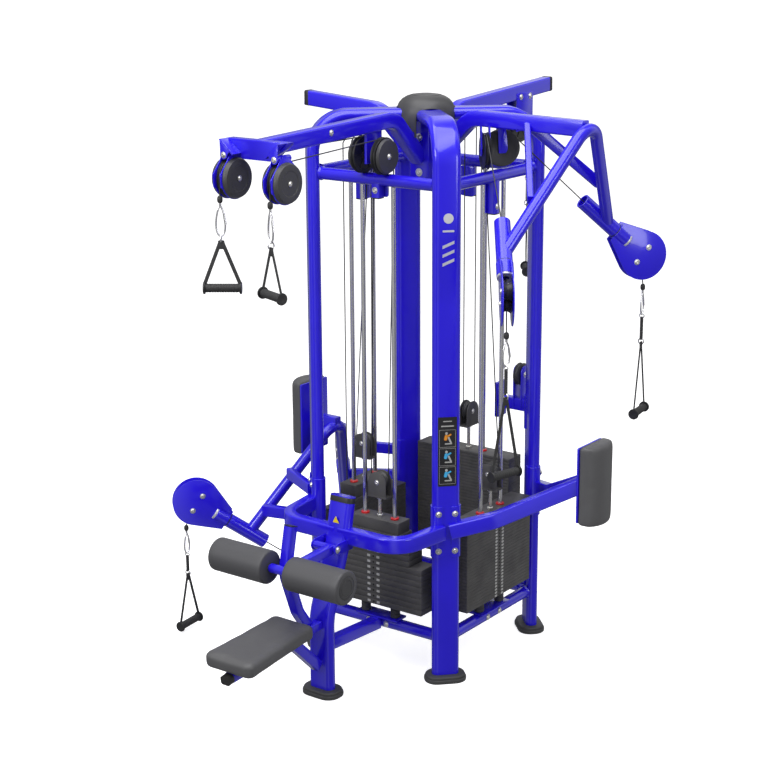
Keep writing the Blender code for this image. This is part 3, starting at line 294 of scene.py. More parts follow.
# --- Uprights --------------------------------------------------------------------------------
# Four flat-oval steel tubes, 114 by 51 mm, bent over at the top to meet under the hub. Half tie
# bars are welded into each at head and ankle height and bolt to their neighbours mid-side.
# Powder coated a glossy cobalt blue.
def surface_grain():
    """Colour drift, roughness and fine height from two scales of noise in the piece's own space."""
    group = bpy.data.node_groups.new("surface_grain", "ShaderNodeTree")
    face = group.interface
    for name, kind, value in (("Colour", "NodeSocketColor", (0.5, 0.5, 0.5, 1.0)),
                              ("Drift Colour", "NodeSocketColor", (0.4, 0.4, 0.4, 1.0)),
                              ("Drift Scale", "NodeSocketFloat", 3.0),
                              ("Grain Scale", "NodeSocketFloat", 400.0),
                              ("Smoothest", "NodeSocketFloat", 0.2),
                              ("Roughest", "NodeSocketFloat", 0.3)):
        socket = face.new_socket(name, in_out="INPUT", socket_type=kind)
        socket.default_value = value
    for name, kind in (("Colour", "NodeSocketColor"), ("Roughness", "NodeSocketFloat"),
                       ("Height", "NodeSocketFloat")):
        face.new_socket(name, in_out="OUTPUT", socket_type=kind)
    nodes = group.nodes
    entry = nodes.new("NodeGroupInput")
    leave = nodes.new("NodeGroupOutput")
    spot = nodes.new("ShaderNodeTexCoord")
    drift = nodes.new("ShaderNodeTexNoise")
    drift.inputs["Detail"].default_value = 5.0
    grain = nodes.new("ShaderNodeTexNoise")
    grain.inputs["Detail"].default_value = 2.0
    blend = nodes.new("ShaderNodeMix")
    blend.data_type = "RGBA"
    spread = nodes.new("ShaderNodeMapRange")
    spread.inputs["From Min"].default_value = 0.3
    spread.inputs["From Max"].default_value = 0.7
    share = nodes.new("ShaderNodeMapRange")
    share.inputs["From Min"].default_value = 0.35
    share.inputs["From Max"].default_value = 0.65
    for start, end in ((spot.outputs["Object"], drift.inputs["Vector"]),
                       (spot.outputs["Object"], grain.inputs["Vector"]),
                       (entry.outputs["Drift Scale"], drift.inputs["Scale"]),
                       (entry.outputs["Grain Scale"], grain.inputs["Scale"]),
                       (drift.outputs["Fac"], share.inputs["Value"]),
                       (share.outputs["Result"], blend.inputs["Factor"]),
                       (entry.outputs["Colour"], blend.inputs["A"]),
                       (entry.outputs["Drift Colour"], blend.inputs["B"]),
                       (drift.outputs["Fac"], spread.inputs["Value"]),
                       (entry.outputs["Smoothest"], spread.inputs["To Min"]),
                       (entry.outputs["Roughest"], spread.inputs["To Max"]),
                       (blend.outputs["Result"], leave.inputs["Colour"]),
                       (spread.outputs["Result"], leave.inputs["Roughness"]),
                       (grain.outputs["Fac"], leave.inputs["Height"])):
        group.links.new(start, end)
    return group


GRAIN = surface_grain()


def coated(name, colour, drift, metallic, smooth, rough, grain, depth, coat=0.0, drift_scale=3.0,
           group=None):
    """A Principled material fed by the grain group; depth is the height of the grain in metres."""
    material = bpy.data.materials.new(name)
    material.use_nodes = True
    nodes = material.node_tree.nodes
    links = material.node_tree.links
    shader = nodes["Principled BSDF"]
    surface = nodes.new("ShaderNodeGroup")
    surface.node_tree = group or GRAIN
    surface.inputs["Colour"].default_value = (*colour, 1.0)
    surface.inputs["Drift Colour"].default_value = (*drift, 1.0)
    surface.inputs["Drift Scale"].default_value = drift_scale
    surface.inputs["Grain Scale"].default_value = grain
    surface.inputs["Smoothest"].default_value = smooth
    surface.inputs["Roughest"].default_value = rough
    bump = nodes.new("ShaderNodeBump")
    bump.inputs["Strength"].default_value = 0.6
    bump.inputs["Distance"].default_value = depth
    links.new(surface.outputs["Colour"], shader.inputs["Base Color"])
    links.new(surface.outputs["Roughness"], shader.inputs["Roughness"])
    links.new(surface.outputs["Height"], bump.inputs["Height"])
    links.new(bump.outputs["Normal"], shader.inputs["Normal"])
    shader.inputs["Metallic"].default_value = metallic
    shader.inputs["Coat Weight"].default_value = coat
    shader.inputs["Coat Roughness"].default_value = 0.05
    return material


def arc_path(corners, radius, steps=12):
    """An open path whose inner corners are bent to one radius."""
    path = [Vector(point) for point in corners]
    points = [path[0]]
    for before, corner, after in zip(path, path[1:], path[2:]):
        arrive = (before - corner).normalized()
        leave = (after - corner).normalized()
        half = arrive.angle(leave) / 2.0
        if half > math.radians(89.0):
            points.append(corner)
            continue
        centre = corner + (arrive + leave).normalized() * (radius / math.sin(half))
        start = corner + arrive * (radius / math.tan(half)) - centre
        end = corner + leave * (radius / math.tan(half)) - centre
        points += [centre + start.slerp(end, index / steps).normalized() * radius
                   for index in range(steps + 1)]
    points.append(path[-1])
    return points


def flat_oval(wide, deep, radius, steps=6):
    """Outline with four round corners, wide along its first axis."""
    points = []
    for quarter in range(4):
        x = (wide / 2.0 - radius) * (1.0 if quarter in (0, 3) else -1.0)
        y = (deep / 2.0 - radius) * (1.0 if quarter in (0, 1) else -1.0)
        for index in range(steps + 1):
            turn = math.radians(90.0 * (quarter + index / steps))
            points.append((x + radius * math.cos(turn), y + radius * math.sin(turn)))
    return points


def ring(radius, steps=20):
    return [(radius * math.cos(math.tau * index / steps), radius * math.sin(math.tau * index / steps))
            for index in range(steps)]


def swept(path, outline, side, closed=False):
    """Carry an outline along a path by extruding its edge; its first axis stays towards side."""
    side = Vector(side)
    count = len(path)
    places = []
    for index, point in enumerate(path):
        before = path[(index - 1) % count] if closed else path[max(index - 1, 0)]
        after = path[(index + 1) % count] if closed else path[min(index + 1, count - 1)]
        along = (after - before).normalized()
        across = (side - along * side.dot(along)).normalized()
        turn = Matrix((across, along.cross(across), along)).transposed().to_4x4()
        places.append(Matrix.Translation(point) @ turn)
    part = bmesh.new()
    loop = [part.verts.new(places[0] @ Vector((x, y, 0.0))) for x, y in outline]
    edges = [part.edges.new((loop[index], loop[(index + 1) % len(loop)])) for index in range(len(loop))]
    if not closed:
        bmesh.ops.edgeloop_fill(part, edges=edges)
    else:
        places.append(places[0])
    for last, now in zip(places, places[1:]):
        grown = bmesh.ops.extrude_edge_only(part, edges=edges)["geom"]
        fresh = {item for item in grown if isinstance(item, bmesh.types.BMVert)}
        edges = [item for item in grown if isinstance(item, bmesh.types.BMEdge) and
                 set(item.verts) <= fresh]
        bmesh.ops.transform(part, matrix=now @ last.inverted(), verts=list(fresh))
    if closed:
        bmesh.ops.remove_doubles(part, verts=part.verts, dist=0.00002)
    else:
        bmesh.ops.edgeloop_fill(part, edges=edges)
    return part


def tube(start, end, radius, steps=20):
    start = Vector(start)
    end = Vector(end)
    axis = (end - start).normalized()
    side = Vector((0.0, 0.0, 1.0)) if abs(axis.z) < 0.9 else Vector((1.0, 0.0, 0.0))
    return swept([start, end], ring(radius, steps), side)


def aimed(point, axis):
    """Matrix that stands local Z along an axis at a point."""
    return Matrix.Translation(Vector(point)) @ Vector(axis).to_track_quat("Z", "Y").to_matrix().to_4x4()


def spun(profile, place=Matrix.Identity(4), steps=32):
    """Turn a closed profile of (radius, height) about local Z."""
    part = bmesh.new()
    knots = [part.verts.new((radius, 0.0, height)) for radius, height in profile]
    on_axis = profile[0][0] == 0.0 and profile[-1][0] == 0.0
    edges = [part.edges.new(pair) for pair in zip(knots, knots[1:])]
    if not on_axis:
        edges.append(part.edges.new((knots[-1], knots[0])))
    bmesh.ops.spin(part, geom=knots + edges, cent=(0.0, 0.0, 0.0), axis=(0.0, 0.0, 1.0),
                   dvec=(0.0, 0.0, 0.0), angle=math.tau, steps=steps, use_merge=True,
                   use_duplicate=False)
    bmesh.ops.remove_doubles(part, verts=part.verts, dist=0.00001)
    bmesh.ops.recalc_face_normals(part, faces=part.faces)
    bmesh.ops.transform(part, matrix=place, verts=part.verts)
    return part


def whole(parts, matrix=Matrix.Identity(4)):
    """Gather several parts in one bmesh and set them in place."""
    gathered = bmesh.new()
    for part in parts:
        mesh = bpy.data.meshes.new("part")
        part.to_mesh(mesh)
        part.free()
        gathered.from_mesh(mesh)
        bpy.data.meshes.remove(mesh)
    bmesh.ops.transform(gathered, matrix=matrix, verts=gathered.verts)
    return gathered


def shown(name, parts, material, slot, body="frame", nodes=(), matrix=Matrix.Identity(4), crease=38.0):
    """Make one visible piece of several parts, ride it on its body and stand it for its nodes."""
    gathered = whole(parts, matrix)
    bmesh.ops.recalc_face_normals(gathered, faces=gathered.faces)
    mesh = bpy.data.meshes.new(name)
    gathered.to_mesh(mesh)
    gathered.free()
    mesh.materials.append(material)
    mesh.shade_smooth()
    mesh.set_sharp_from_angle(angle=math.radians(crease))
    piece = bpy.data.objects.new(name, mesh)
    scene.collection.objects.link(piece)
    if body:
        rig.ride(piece, body)
    if nodes:
        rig.replaces(piece, *nodes)
    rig.slot(piece, slot)
    return piece


blue = coated("cobalt_powder_coat", (0.018, 0.007, 0.690), (0.014, 0.005, 0.620), 0.0, 0.18, 0.25,
              900.0, 0.00002, coat=0.6)
UPRIGHTS = {"front": -45.0, "right": 45.0, "rear": 135.0, "left": -135.0}
STATIONS = {name: Matrix.Rotation(math.radians(turn), 4, "Z")
            for name, turn in (("pulldown", -90.0), ("high", 0.0), ("row", 180.0), ("rear", 90.0))}
CORNER_OUT = 0.472
MID_SIDE = 0.33375
HEAD_TIE_Z = 2.077
ANKLE_TIE_Z = 0.184
ROUND_TUBE_R = 0.0254
upright_section = flat_oval(0.114, 0.051, 0.0245, 7)
arch_top = 2.309
half_bar = 0.33346
weld_at = 0.050
for name, turn in UPRIGHTS.items():
    shaft = arc_path([(0.072, 0.0, arch_top), (CORNER_OUT, 0.0, arch_top), (CORNER_OUT, 0.0, 0.0293)],
                     0.150, 16)
    parts = [swept(shaft, upright_section, (0.0, 1.0, 0.0))]
    for level in (HEAD_TIE_Z, ANKLE_TIE_Z):
        for side in (1.0, -1.0):
            lead = Vector((-1.0, side, 0.0)).normalized()
            root = Vector((CORNER_OUT, 0.0, level))
            parts.append(tube(root, root + lead * half_bar, ROUND_TUBE_R, 24))
            bead = [(ROUND_TUBE_R, 0.0), (0.0300, 0.0), (0.0262, 0.006), (ROUND_TUBE_R, 0.008)]
            parts.append(spun(bead, aimed(root + lead * weld_at, lead), 24))
    shown("upright_" + name, parts, blue, "blue_paint", nodes=["corner_" + name],
          matrix=Matrix.Rotation(math.radians(turn), 4, "Z"))


# --- Bolts -----------------------------------------------------------------------------------
# Zinc-plated button heads with a socket, turned from bar. Two close the splice in the middle of
# each ankle-height tie bar.
zinc = coated("zinc_plate", (0.78, 0.77, 0.72), (0.66, 0.66, 0.64), 0.9, 0.22, 0.36, 700.0, 0.00003,
              drift_scale=40.0)


def bolt(point, axis, radius=0.0105, tall=0.0062):
    profile = [(0.0, tall * 0.45), (radius * 0.34, tall * 0.45), (radius * 0.36, tall * 0.98),
               (radius * 0.62, tall), (radius * 0.90, tall * 0.62), (radius, tall * 0.18),
               (radius * 1.25, tall * 0.16), (radius * 1.25, -0.001), (0.0, -0.001)]
    return spun(profile, aimed(point, axis), 18)


splices = [whole([bolt((MID_SIDE + face * 0.0250, side * 0.045, ANKLE_TIE_Z), (face, 0, 0))
                  for face in (1, -1) for side in (-1, 1)], place) for place in STATIONS.values()]
shown("splice_bolts", splices, zinc, "chrome")


# --- Shoes -----------------------------------------------------------------------------------
# Moulded black rubber cups pushed over the four uprights and the seat post, with a wider tread
# and a softly rounded lip.
rubber = coated("shoe_rubber", (0.055, 0.055, 0.057), (0.040, 0.040, 0.042), 0.0, 0.45, 0.62, 500.0,
                0.0001)


def slab(outline, low, high, soft=0.0, segments=3):
    """A flat outline raised between two heights, its rims rounded."""
    part = bmesh.new()
    face = part.faces.new([part.verts.new((x, y, low)) for x, y in outline])
    grown = bmesh.ops.extrude_face_region(part, geom=[face])["geom"]
    fresh = [item for item in grown if isinstance(item, bmesh.types.BMVert)]
    bmesh.ops.translate(part, vec=(0.0, 0.0, high - low), verts=fresh)
    bmesh.ops.recalc_face_normals(part, faces=part.faces)
    if soft > 0.0:
        rims = [edge for edge in part.edges if abs(edge.verts[0].co.z - edge.verts[1].co.z) < 1e-6]
        bmesh.ops.bevel(part, geom=rims, offset=soft, offset_type="OFFSET", affect="EDGES",
                        segments=segments, profile=0.5, material=-1, clamp_overlap=True)
    return part


SEAT_POST_OUT = 0.735
shoes = {"foot_" + corner: Matrix.Rotation(math.radians(turn), 4, "Z") @
         Matrix.Translation((CORNER_OUT, 0, 0)) for corner, turn in UPRIGHTS.items()}
shoes["foot_seat"] = STATIONS["pulldown"] @ Matrix.Translation((SEAT_POST_OUT, 0, 0))
for name, place in shoes.items():
    tread = slab(flat_oval(0.118, 0.176, 0.053, 10), 0.0, 0.017, 0.003)
    cup = slab(flat_oval(0.108, 0.166, 0.048, 10), 0.012, 0.0288, 0.005)
    shown(name.replace("foot", "shoe"), [tread, cup], rubber, "black_rubber", nodes=[name], matrix=place)


# --- Hub -------------------------------------------------------------------------------------
# The four uprights end at a square bolted core of welded plate. A dark moulded cap with a low
# domed crown and arched windows covers the joint and snaps over the bent tubes.
charcoal = coated("charcoal_moulding", (0.046, 0.046, 0.049), (0.038, 0.038, 0.041), 0.0, 0.38, 0.52,
                  620.0, 0.00012)
black = coated("black_moulding", (0.016, 0.016, 0.018), (0.012, 0.012, 0.013), 0.0, 0.34, 0.48, 620.0,
               0.00010)

core_face = 0.0480
core = [slab(flat_oval(2.0 * core_face, 2.0 * core_face, 0.004, 3), 2.0255, 2.2820, 0.002)]
washer = [(0.0, 0.0), (0.0165, 0.0), (0.0165, 0.0016), (0.0, 0.0016)]
core_bolts = []
for place in STATIONS.values():
    for level in (2.214, 2.070):
        core_bolts.append(whole([spun(washer, aimed((core_face, 0.0, level), (1, 0, 0))),
                                 bolt((core_face + 0.0016, 0.0, level), (1, 0, 0), 0.0105, 0.0060)],
                                place))
shown("hub_block", core, blue, "blue_paint", nodes=["hub_core"])
shown("core_bolts", core_bolts, zinc, "chrome")

dome = [(0.0, 2.3905), (0.030, 2.3895), (0.056, 2.3860), (0.0575, 2.3838), (0.061, 2.3838),
        (0.0625, 2.3850), (0.080, 2.3790), (0.098, 2.3680), (0.111, 2.3530), (0.1185, 2.3350),
        (0.1225, 2.3150), (0.1232, 2.2320), (0.1232, 2.2225), (0.1192, 2.2225), (0.1185, 2.3130),
        (0.1140, 2.3330), (0.1060, 2.3500), (0.0930, 2.3640), (0.0760, 2.3740), (0.0400, 2.3810),
        (0.0, 2.3825)]
FACE_OUT = Matrix(((0, 0, 1, 0), (1, 0, 0, 0), (0, 1, 0, 0), (0, 0, 0, 1)))
cap_r = 0.1230
cap_bend_z = 2.316
cap_lip_z = 2.2240
windows = []
rims = []
for turn, half, shoulder_z, rise in [(45.0 + 90.0 * step, 0.0580, 2.296, 0.0420) for step in range(4)] + \
                                    [(90.0 * step, 0.0290, 2.232, 0.0200) for step in range(4)]:
    arch = [(-half, 2.20)] + [(-half * math.cos(math.radians(9.0 * step)),
                               shoulder_z + rise * math.sin(math.radians(9.0 * step)) ** 0.7)
                              for step in range(21)]
    arch.append((half, 2.20))
    window = slab(arch, 0.05, 0.16)
    place = Matrix.Rotation(math.radians(turn), 4, "Z")
    windows.append(whole([window], place @ FACE_OUT))
    line = []
    for y, z in arch:
        edge = cap_r - max(z - cap_bend_z, 0.0) * 0.22
        line.append(Vector((math.sqrt(edge ** 2 - y * y), y * 1.008, max(z, cap_lip_z) + 0.0006)))
    rims.append(whole([swept(line, ring(0.0015, 8), (1, 0, 0))], place))
cutter_mesh = bpy.data.meshes.new("cap_windows")
cutters = whole(windows)
bmesh.ops.recalc_face_normals(cutters, faces=cutters.faces)
cutters.to_mesh(cutter_mesh)
cutters.free()
cutter = bpy.data.objects.new("cap_windows", cutter_mesh)
scene.collection.objects.link(cutter)
cap = shown("hub_cover", [spun(dome, steps=96)], charcoal, "dark_plastic", nodes=["hub_cap"], crease=30.0)
cut = cap.modifiers.new("windows", "BOOLEAN")
cut.operation = "DIFFERENCE"
cut.solver = "EXACT"
cut.object = cutter
opened = bpy.data.meshes.new_from_object(cap.evaluated_get(bpy.context.evaluated_depsgraph_get()))
cap.modifiers.clear()
cap.data = opened
opened.shade_smooth()
opened.set_sharp_from_angle(angle=math.radians(30.0))
bpy.data.objects.remove(cutter)
shown("cap_window_rims", rims, black, "dark_plastic")


# --- Booms -----------------------------------------------------------------------------------
# Four rectangular steel arms rise out of the core, bend level over the tie bars and carry the
# pulleys of their stations. Two end in pressed-in plastic caps, one in the leaning arch, the fourth in a folded
# crossbar.
FACE_SIDE = Matrix.Rotation(math.radians(90.0), 4, "X")


def plate(outline, half, centre, turn, soft=0.0007):
    """A flat cut plate, half thick each way, turned and moved to its centre."""
    part = slab(outline, -half, half, soft, 2)
    bmesh.ops.transform(part, matrix=Matrix.Translation(Vector(centre)) @ turn, verts=part.verts)
    return part


def beam(start, end, wide, tall, radius=0.005):
    return swept([Vector(start), Vector(end)], flat_oval(tall, wide, radius, 4), (0.0, 0.0, 1.0))


BOOMS = {"pulldown": (1.060, 0.030), "high": (0.756, 0.010), "row": (0.620, -0.030),
         "rear": (0.960, -0.048)}
BOOM_Z = 2.307
boom_bend_out = 0.232
boom_section = flat_oval(0.0636, 0.0508, 0.0075, 4)
HUB_WHEEL = (0.362, 0.050, 2.176)
REAR_WHEEL = (0.728, 0.0, 2.190)
axle_r = 0.006
GUIDES = {"high": ((0.574, 0.306, 1.958), (0.450, 0.600, -0.660)),
          "row": ((0.668, 0.300, 0.388), (0.557, 0.603, 0.573))}
GUIDE_LONG = 0.200


def guide(side, sign=1.0, up_to=0.0):
    """A point of one swivel guide tube up_to metres from its inner end, and the tube's direction."""
    start, aim = GUIDES[side]
    along = Vector((aim[0], sign * aim[1], aim[2])).normalized()
    return Vector((start[0], sign * start[1], start[2])) + along * up_to, along


def guide_tube(side, sign):
    sleeve = [(0.0245, 0.001), (0.0260, 0.0), (0.0308, 0.0), (0.0320, 0.0012),
              (0.0320, GUIDE_LONG - 0.0012), (0.0308, GUIDE_LONG), (0.0260, GUIDE_LONG),
              (0.0245, GUIDE_LONG - 0.001)]
    return spun(sleeve, aimed(*guide(side, sign)))


def leaning_arch(side, foot_at, apex, half_wide, bend):
    """A round tube hoop leaning from the two guide tubes up to a point on the station's middle line."""
    foot = guide(side, 1.0, foot_at)[0]
    lift = (Vector(apex) - Vector((foot.x, 0.0, foot.z))).normalized()
    flat = arc_path([(-foot.y, 0.0, 0.0), (0.0, half_wide, 0.0), (foot.y, 0.0, 0.0)], bend, 20)
    hoop = [Vector((foot.x, point.x, foot.z)) + lift * point.y for point in flat]
    return swept(hoop, ring(ROUND_TUBE_R, 28), lift.cross(Vector((0.0, 1.0, 0.0))))


for name, (reach, drop) in BOOMS.items():
    run = arc_path([(0.0483, 0.0, 2.130), (boom_bend_out, 0.0, BOOM_Z), (reach, 0.0, BOOM_Z - drop)],
                   0.110, 14)
    parts = [swept(run, boom_section, (0.0, 0.0, 1.0))]
    if name == "pulldown":
        parts.append(plate([(-0.144, 2.308), (-0.138, 2.296), (-0.062, 2.2352), (0.062, 2.2352),
                            (0.138, 2.296), (0.144, 2.308)], 0.0215, (1.048, 0.0, 0.0), FACE_OUT,
                           0.002))
        for side in (-1.0, 1.0):
            parts.append(plate([(side * 0.143, 2.3075), (side * 0.080, 2.2515), (side * 0.074, 2.2570),
                                (side * 0.132, 2.3075)], 0.0280, (1.085, 0.0, 0.0), FACE_OUT, 0.001))
            ear = [(side * 0.138, 2.305)]
            ear += [(side * 0.120 + 0.017 * math.cos(math.radians(90.0 - side * (70.0 + 20.0 * step))),
                     2.251 + 0.017 * math.sin(math.radians(90.0 - side * (70.0 + 20.0 * step))))
                    for step in range(11)]
            ear.append((side * 0.092, 2.265))
            parts.append(plate(ear, 0.0020, (1.1115, 0.0, 0.0), FACE_OUT, 0.0006))
        parts.append(plate([(0.312, 2.146), (0.412, 2.146), (0.412, 2.290), (0.312, 2.290)], 0.0060,
                           (0.0, 0.0, 0.0), FACE_SIDE))
        for side in (-1.0, 1.0):
            parts.append(tube((HUB_WHEEL[0], side * 0.005, HUB_WHEEL[2]),
                              (HUB_WHEEL[0], side * 0.066, HUB_WHEEL[2]), axle_r))
    if name == "rear":
        for side in (-0.0255, 0.0255):
            parts.append(plate([(0.660, 2.168), (0.790, 2.168), (0.790, 2.330), (0.784, 2.3365),
                                (0.666, 2.3365), (0.660, 2.330)], 0.0029, (0.0, side, 0.0), FACE_SIDE))
        parts.append(tube((REAR_WHEEL[0], -0.0235, REAR_WHEEL[2]),
                          (REAR_WHEEL[0], 0.0235, REAR_WHEEL[2]), axle_r))
    if name == "high":
        for side in (-1.0, 1.0):
            parts.append(beam((0.500, side * 0.015, 2.290), (0.672, side * 0.262, 2.045), 0.025, 0.044))
        parts.append(leaning_arch("high", 0.155, (0.774, 0.0, 2.297), 0.515, 0.092))
        parts += [guide_tube("high", side) for side in (-1.0, 1.0)]
    shown("boom_arm_" + name if name != "high" else "arch_boom", parts, blue, "blue_paint",
          nodes=["boom_" + name], matrix=STATIONS[name])
    lead = Vector((1.0, 0.0, -drop / (reach - boom_bend_out))).normalized()
    if name in ("row", "rear"):
        stopper = slab(flat_oval(0.0650, 0.0522, 0.0086, 5), -0.0230, 0.0030, 0.0050, 4)
        turn = Matrix((Vector((0, 0, 1)), lead.cross(Vector((0, 0, 1))), lead)).transposed().to_4x4()
        shown("boom_end_" + name, [stopper], black, "dark_plastic",
              matrix=STATIONS[name] @ Matrix.Translation((reach, 0.0, BOOM_Z - drop)) @ turn)

plate_bolts = ((0.690, 2.318), (0.765, 2.318), (REAR_WHEEL[0], REAR_WHEEL[2]))
fittings = [whole([bolt((out, side * 0.0290, level), (0, side, 0)) for out, level in plate_bolts
                   for side in (-1, 1)], STATIONS["rear"])]
fittings += [whole([bolt((0.660, side * 0.0254, 2.296), (0, side, 0)),
                    bolt((1.1135, side * 0.120, 2.251), (1, 0, 0), 0.0095, 0.0060)], STATIONS["pulldown"])
             for side in (-1, 1)]
shown("boom_bolts", fittings, zinc, "chrome")


# --- Drop tubes ------------------------------------------------------------------------------
# A short square tube hangs under each head-height tie bar, welded to a rounded plate behind it
# and bolted through; its open end has a black push-in cap.
square = flat_oval(0.038, 0.038, 0.004, 4)
drop_out = 0.3345
backing_top = 2.055
drops = []
drop_caps = []
drop_bolts = []
for name, place in STATIONS.items():
    low = 2.004 if name == "pulldown" else 1.926
    drops.append(whole([swept([Vector((drop_out, 0.0, 2.066)), Vector((drop_out, 0.0, low))], square,
                              (1.0, 0.0, 0.0)), plate(flat_oval(0.074, backing_top - low, 0.012, 5),
                                                      0.0025, (0.3110, 0.0, (backing_top + low) * 0.5),
                                                      FACE_OUT)], place))
    drop_caps.append(whole([slab(flat_oval(0.0384, 0.0384, 0.0042, 4), low - 0.0045, low + 0.0008,
                                 0.0012)], place @ Matrix.Translation((drop_out, 0.0, 0.0))))
    drop_bolts.append(whole([bolt((0.3536, 0.0, low + 0.030), (1, 0, 0))], place))
shown("drop_tubes", drops, blue, "blue_paint")
shown("drop_tube_caps", drop_caps, black, "dark_plastic")
shown("drop_tube_bolts", drop_bolts, zinc, "chrome")


# --- Lower arms ------------------------------------------------------------------------------
# Welded frames that clamp round the narrow edges of the uprights with bent channels: a belt and
# leaning seat post, two rising bars to a pad plate, a low arch on four braces, a short bracket.
HUG_HALF = 0.0307


def hug(turn, towards, low, tall):
    """Bent channel round one narrow edge of an upright."""
    inner_half = 0.0258
    ends_at = 0.0182
    outer = flat_oval(2.0 * HUG_HALF, 0.1244, 0.0297, 9)[:20]
    inner = flat_oval(2.0 * inner_half, 0.1146, 0.0248, 9)[:20]
    outline = [(HUG_HALF, ends_at)] + outer + [(-HUG_HALF, ends_at), (-inner_half, ends_at)]
    outline += inner[::-1] + [(inner_half, ends_at)]
    part = slab([(x, y * towards) for x, y in outline], low, low + tall, 0.0006, 1)
    place = Matrix.Rotation(math.radians(turn), 4, "Z") @ Matrix.Translation((CORNER_OUT, 0.0, 0.0))
    bmesh.ops.transform(part, matrix=place, verts=part.verts)
    return part


def clamps(side, hands, low=0.550, tall=0.220):
    """The two channels of one station, with their bolts, in machine axes."""
    steel = []
    bolts = []
    for corner, towards in hands:
        turn = UPRIGHTS[corner]
        steel.append(hug(turn, towards, low, tall))
        place = Matrix.Rotation(math.radians(turn), 4, "Z")
        for level in (low + 0.030, low + tall - 0.030):
            bolts.append(whole([bolt((CORNER_OUT + HUG_HALF, towards * 0.034, level), (1, 0, 0))], place))
    shown("clamp_bolts_" + side, bolts, zinc, "chrome")
    return steel


BELT_Z = 0.660
belt_out = 0.612
parts = [swept(arc_path([(SEAT_POST_OUT, 0, 0.0293), (SEAT_POST_OUT, 0, 0.340), (0.618, 0, 0.640),
                         (0.583, 0, 0.815)], 0.25, 14), upright_section, (0.0, 1.0, 0.0))]
for side in (-1.0, 1.0):
    belt = arc_path([(0.3657, side * 0.3345, BELT_Z), (belt_out, side * 0.300, BELT_Z),
                     (belt_out, side * 0.010, BELT_Z)], 0.105, 14)
    parts.append(swept(belt, flat_oval(0.064, 0.0508, 0.0075, 4), (0.0, 0.0, 1.0)))
    parts.append(plate([(0.602, 0.604), (0.700, 0.604), (0.718, 0.612), (0.724, 0.628), (0.718, 0.644),
                        (0.700, 0.652), (0.602, 0.652)], 0.0029, (0.0, side * 0.0585, 0.0), FACE_SIDE))
parts.append(beam((0.722, 0.0, 0.2055), (0.3605, 0.0, 0.1838), 0.045, 0.050))
shown("seat_post", [whole(parts, STATIONS["pulldown"])] +
      clamps("pulldown", [("front", -1.0), ("left", 1.0)]), blue, "blue_paint", nodes=["mast_pulldown"])
top = swept([Vector((0.5882, 0.0, 0.7900)), Vector((0.5834, 0.0, 0.8140))],
            flat_oval(0.1156, 0.0526, 0.0253, 7), (0.0, 1.0, 0.0))
bmesh.ops.bevel(top, geom=[edge for edge in top.edges if min(vert.co.z for vert in edge.verts) > 0.806],
                offset=0.005, offset_type="OFFSET", affect="EDGES", segments=3, profile=0.5, material=-1,
                clamp_overlap=True)
shown("seat_post_cap", [top], black, "dark_plastic", matrix=STATIONS["pulldown"])

parts = [plate(flat_oval(0.186, 0.318, 0.006, 4), 0.0038, (0.810, 0.0, 0.875), FACE_OUT)]
for side in (-1.0, 1.0):
    near = Vector((0.3600, side * 0.3410, 0.664))
    bend = Vector((0.500, side * 0.220, 0.705))
    far = Vector((0.808, side * 0.0460, 0.871))
    parts.append(swept(arc_path([near, bend, far], 0.12, 8), boom_section, (0.0, 0.0, 1.0)))
shown("pad_arm", [whole(parts, STATIONS["high"])] + clamps("high", [("front", 1.0), ("right", -1.0)]),
      blue, "blue_paint", nodes=["arm_high"])

parts = [leaning_arch("row", 0.085, (0.492, 0.0, 0.898), 0.560, 0.077)]
for side in (-1.0, 1.0):
    parts.append(beam((0.560, side * 0.250, 0.715), (0.3640, side * 0.3440, 0.7060), 0.030, 0.050))
    parts.append(beam((0.650, side * 0.315, 0.542), (0.3640, side * 0.3490, 0.5820), 0.040, 0.050))
    parts.append(guide_tube("row", side))
parts.append(beam((0.480, 0.0, 0.900), (0.616, 0.0, 0.900), 0.040, 0.050))
parts.append(plate(flat_oval(0.186, 0.322, 0.006, 4), 0.0038, (0.616, 0.0, 0.912), FACE_OUT))
shown("low_arch", [whole(parts, STATIONS["row"])] + clamps("row", [("left", -1.0), ("rear", 1.0)]),
      blue, "blue_paint", nodes=["arm_row"])

parts = [swept(arc_path([(0.362, -0.3085, 1.0), (0.432, -0.255, 1.0), (0.432, -0.094, 1.0)], 0.045, 8),
               flat_oval(0.055, 0.040, 0.005, 4), (0.0, 0.0, 1.0)),
         plate(flat_oval(0.077, 0.159, 0.004, 4), 0.0066, (0.443, -0.097, 1.005), FACE_SIDE)]
axle_out, axle_side, axle_z = 0.438, -0.205, 1.135
fork_half = 0.0295
for side in (axle_side - 0.020, axle_side + 0.020):
    fork = [(axle_out - fork_half, 0.991), (axle_out + fork_half, 0.991)]
    fork += [(axle_out + fork_half * math.cos(math.radians(15.0 * step)),
              1.145 + fork_half * math.sin(math.radians(15.0 * step))) for step in range(13)]
    parts.append(plate(fork, 0.0024, (0.0, side, 0.0), FACE_SIDE))
shown("rear_bracket", [whole(parts, STATIONS["rear"])] + clamps("rear", [("right", 1.0)], 0.925, 0.150),
      blue, "blue_paint", nodes=["bracket_rear"])
groove = [(0.006, -0.011), (0.048, -0.011), (0.050, -0.0098), (0.0425, -0.003), (0.0425, 0.003),
          (0.050, 0.0098), (0.048, 0.011), (0.006, 0.011)]
shown("bracket_wheel", [spun(groove, aimed((axle_out, axle_side, axle_z), (0, 1, 0)), 48)], charcoal,
      "dark_plastic", matrix=STATIONS["rear"])
shown("bracket_bolts", [bolt((axle_out, axle_side + face * 0.0224, axle_z), (0, face, 0))
                        for face in (1, -1)] + [bolt((0.443, -0.0904, level), (0, 1, 0))
                                                for level in (1.055, 0.955)], zinc, "chrome",
      matrix=STATIONS["rear"])


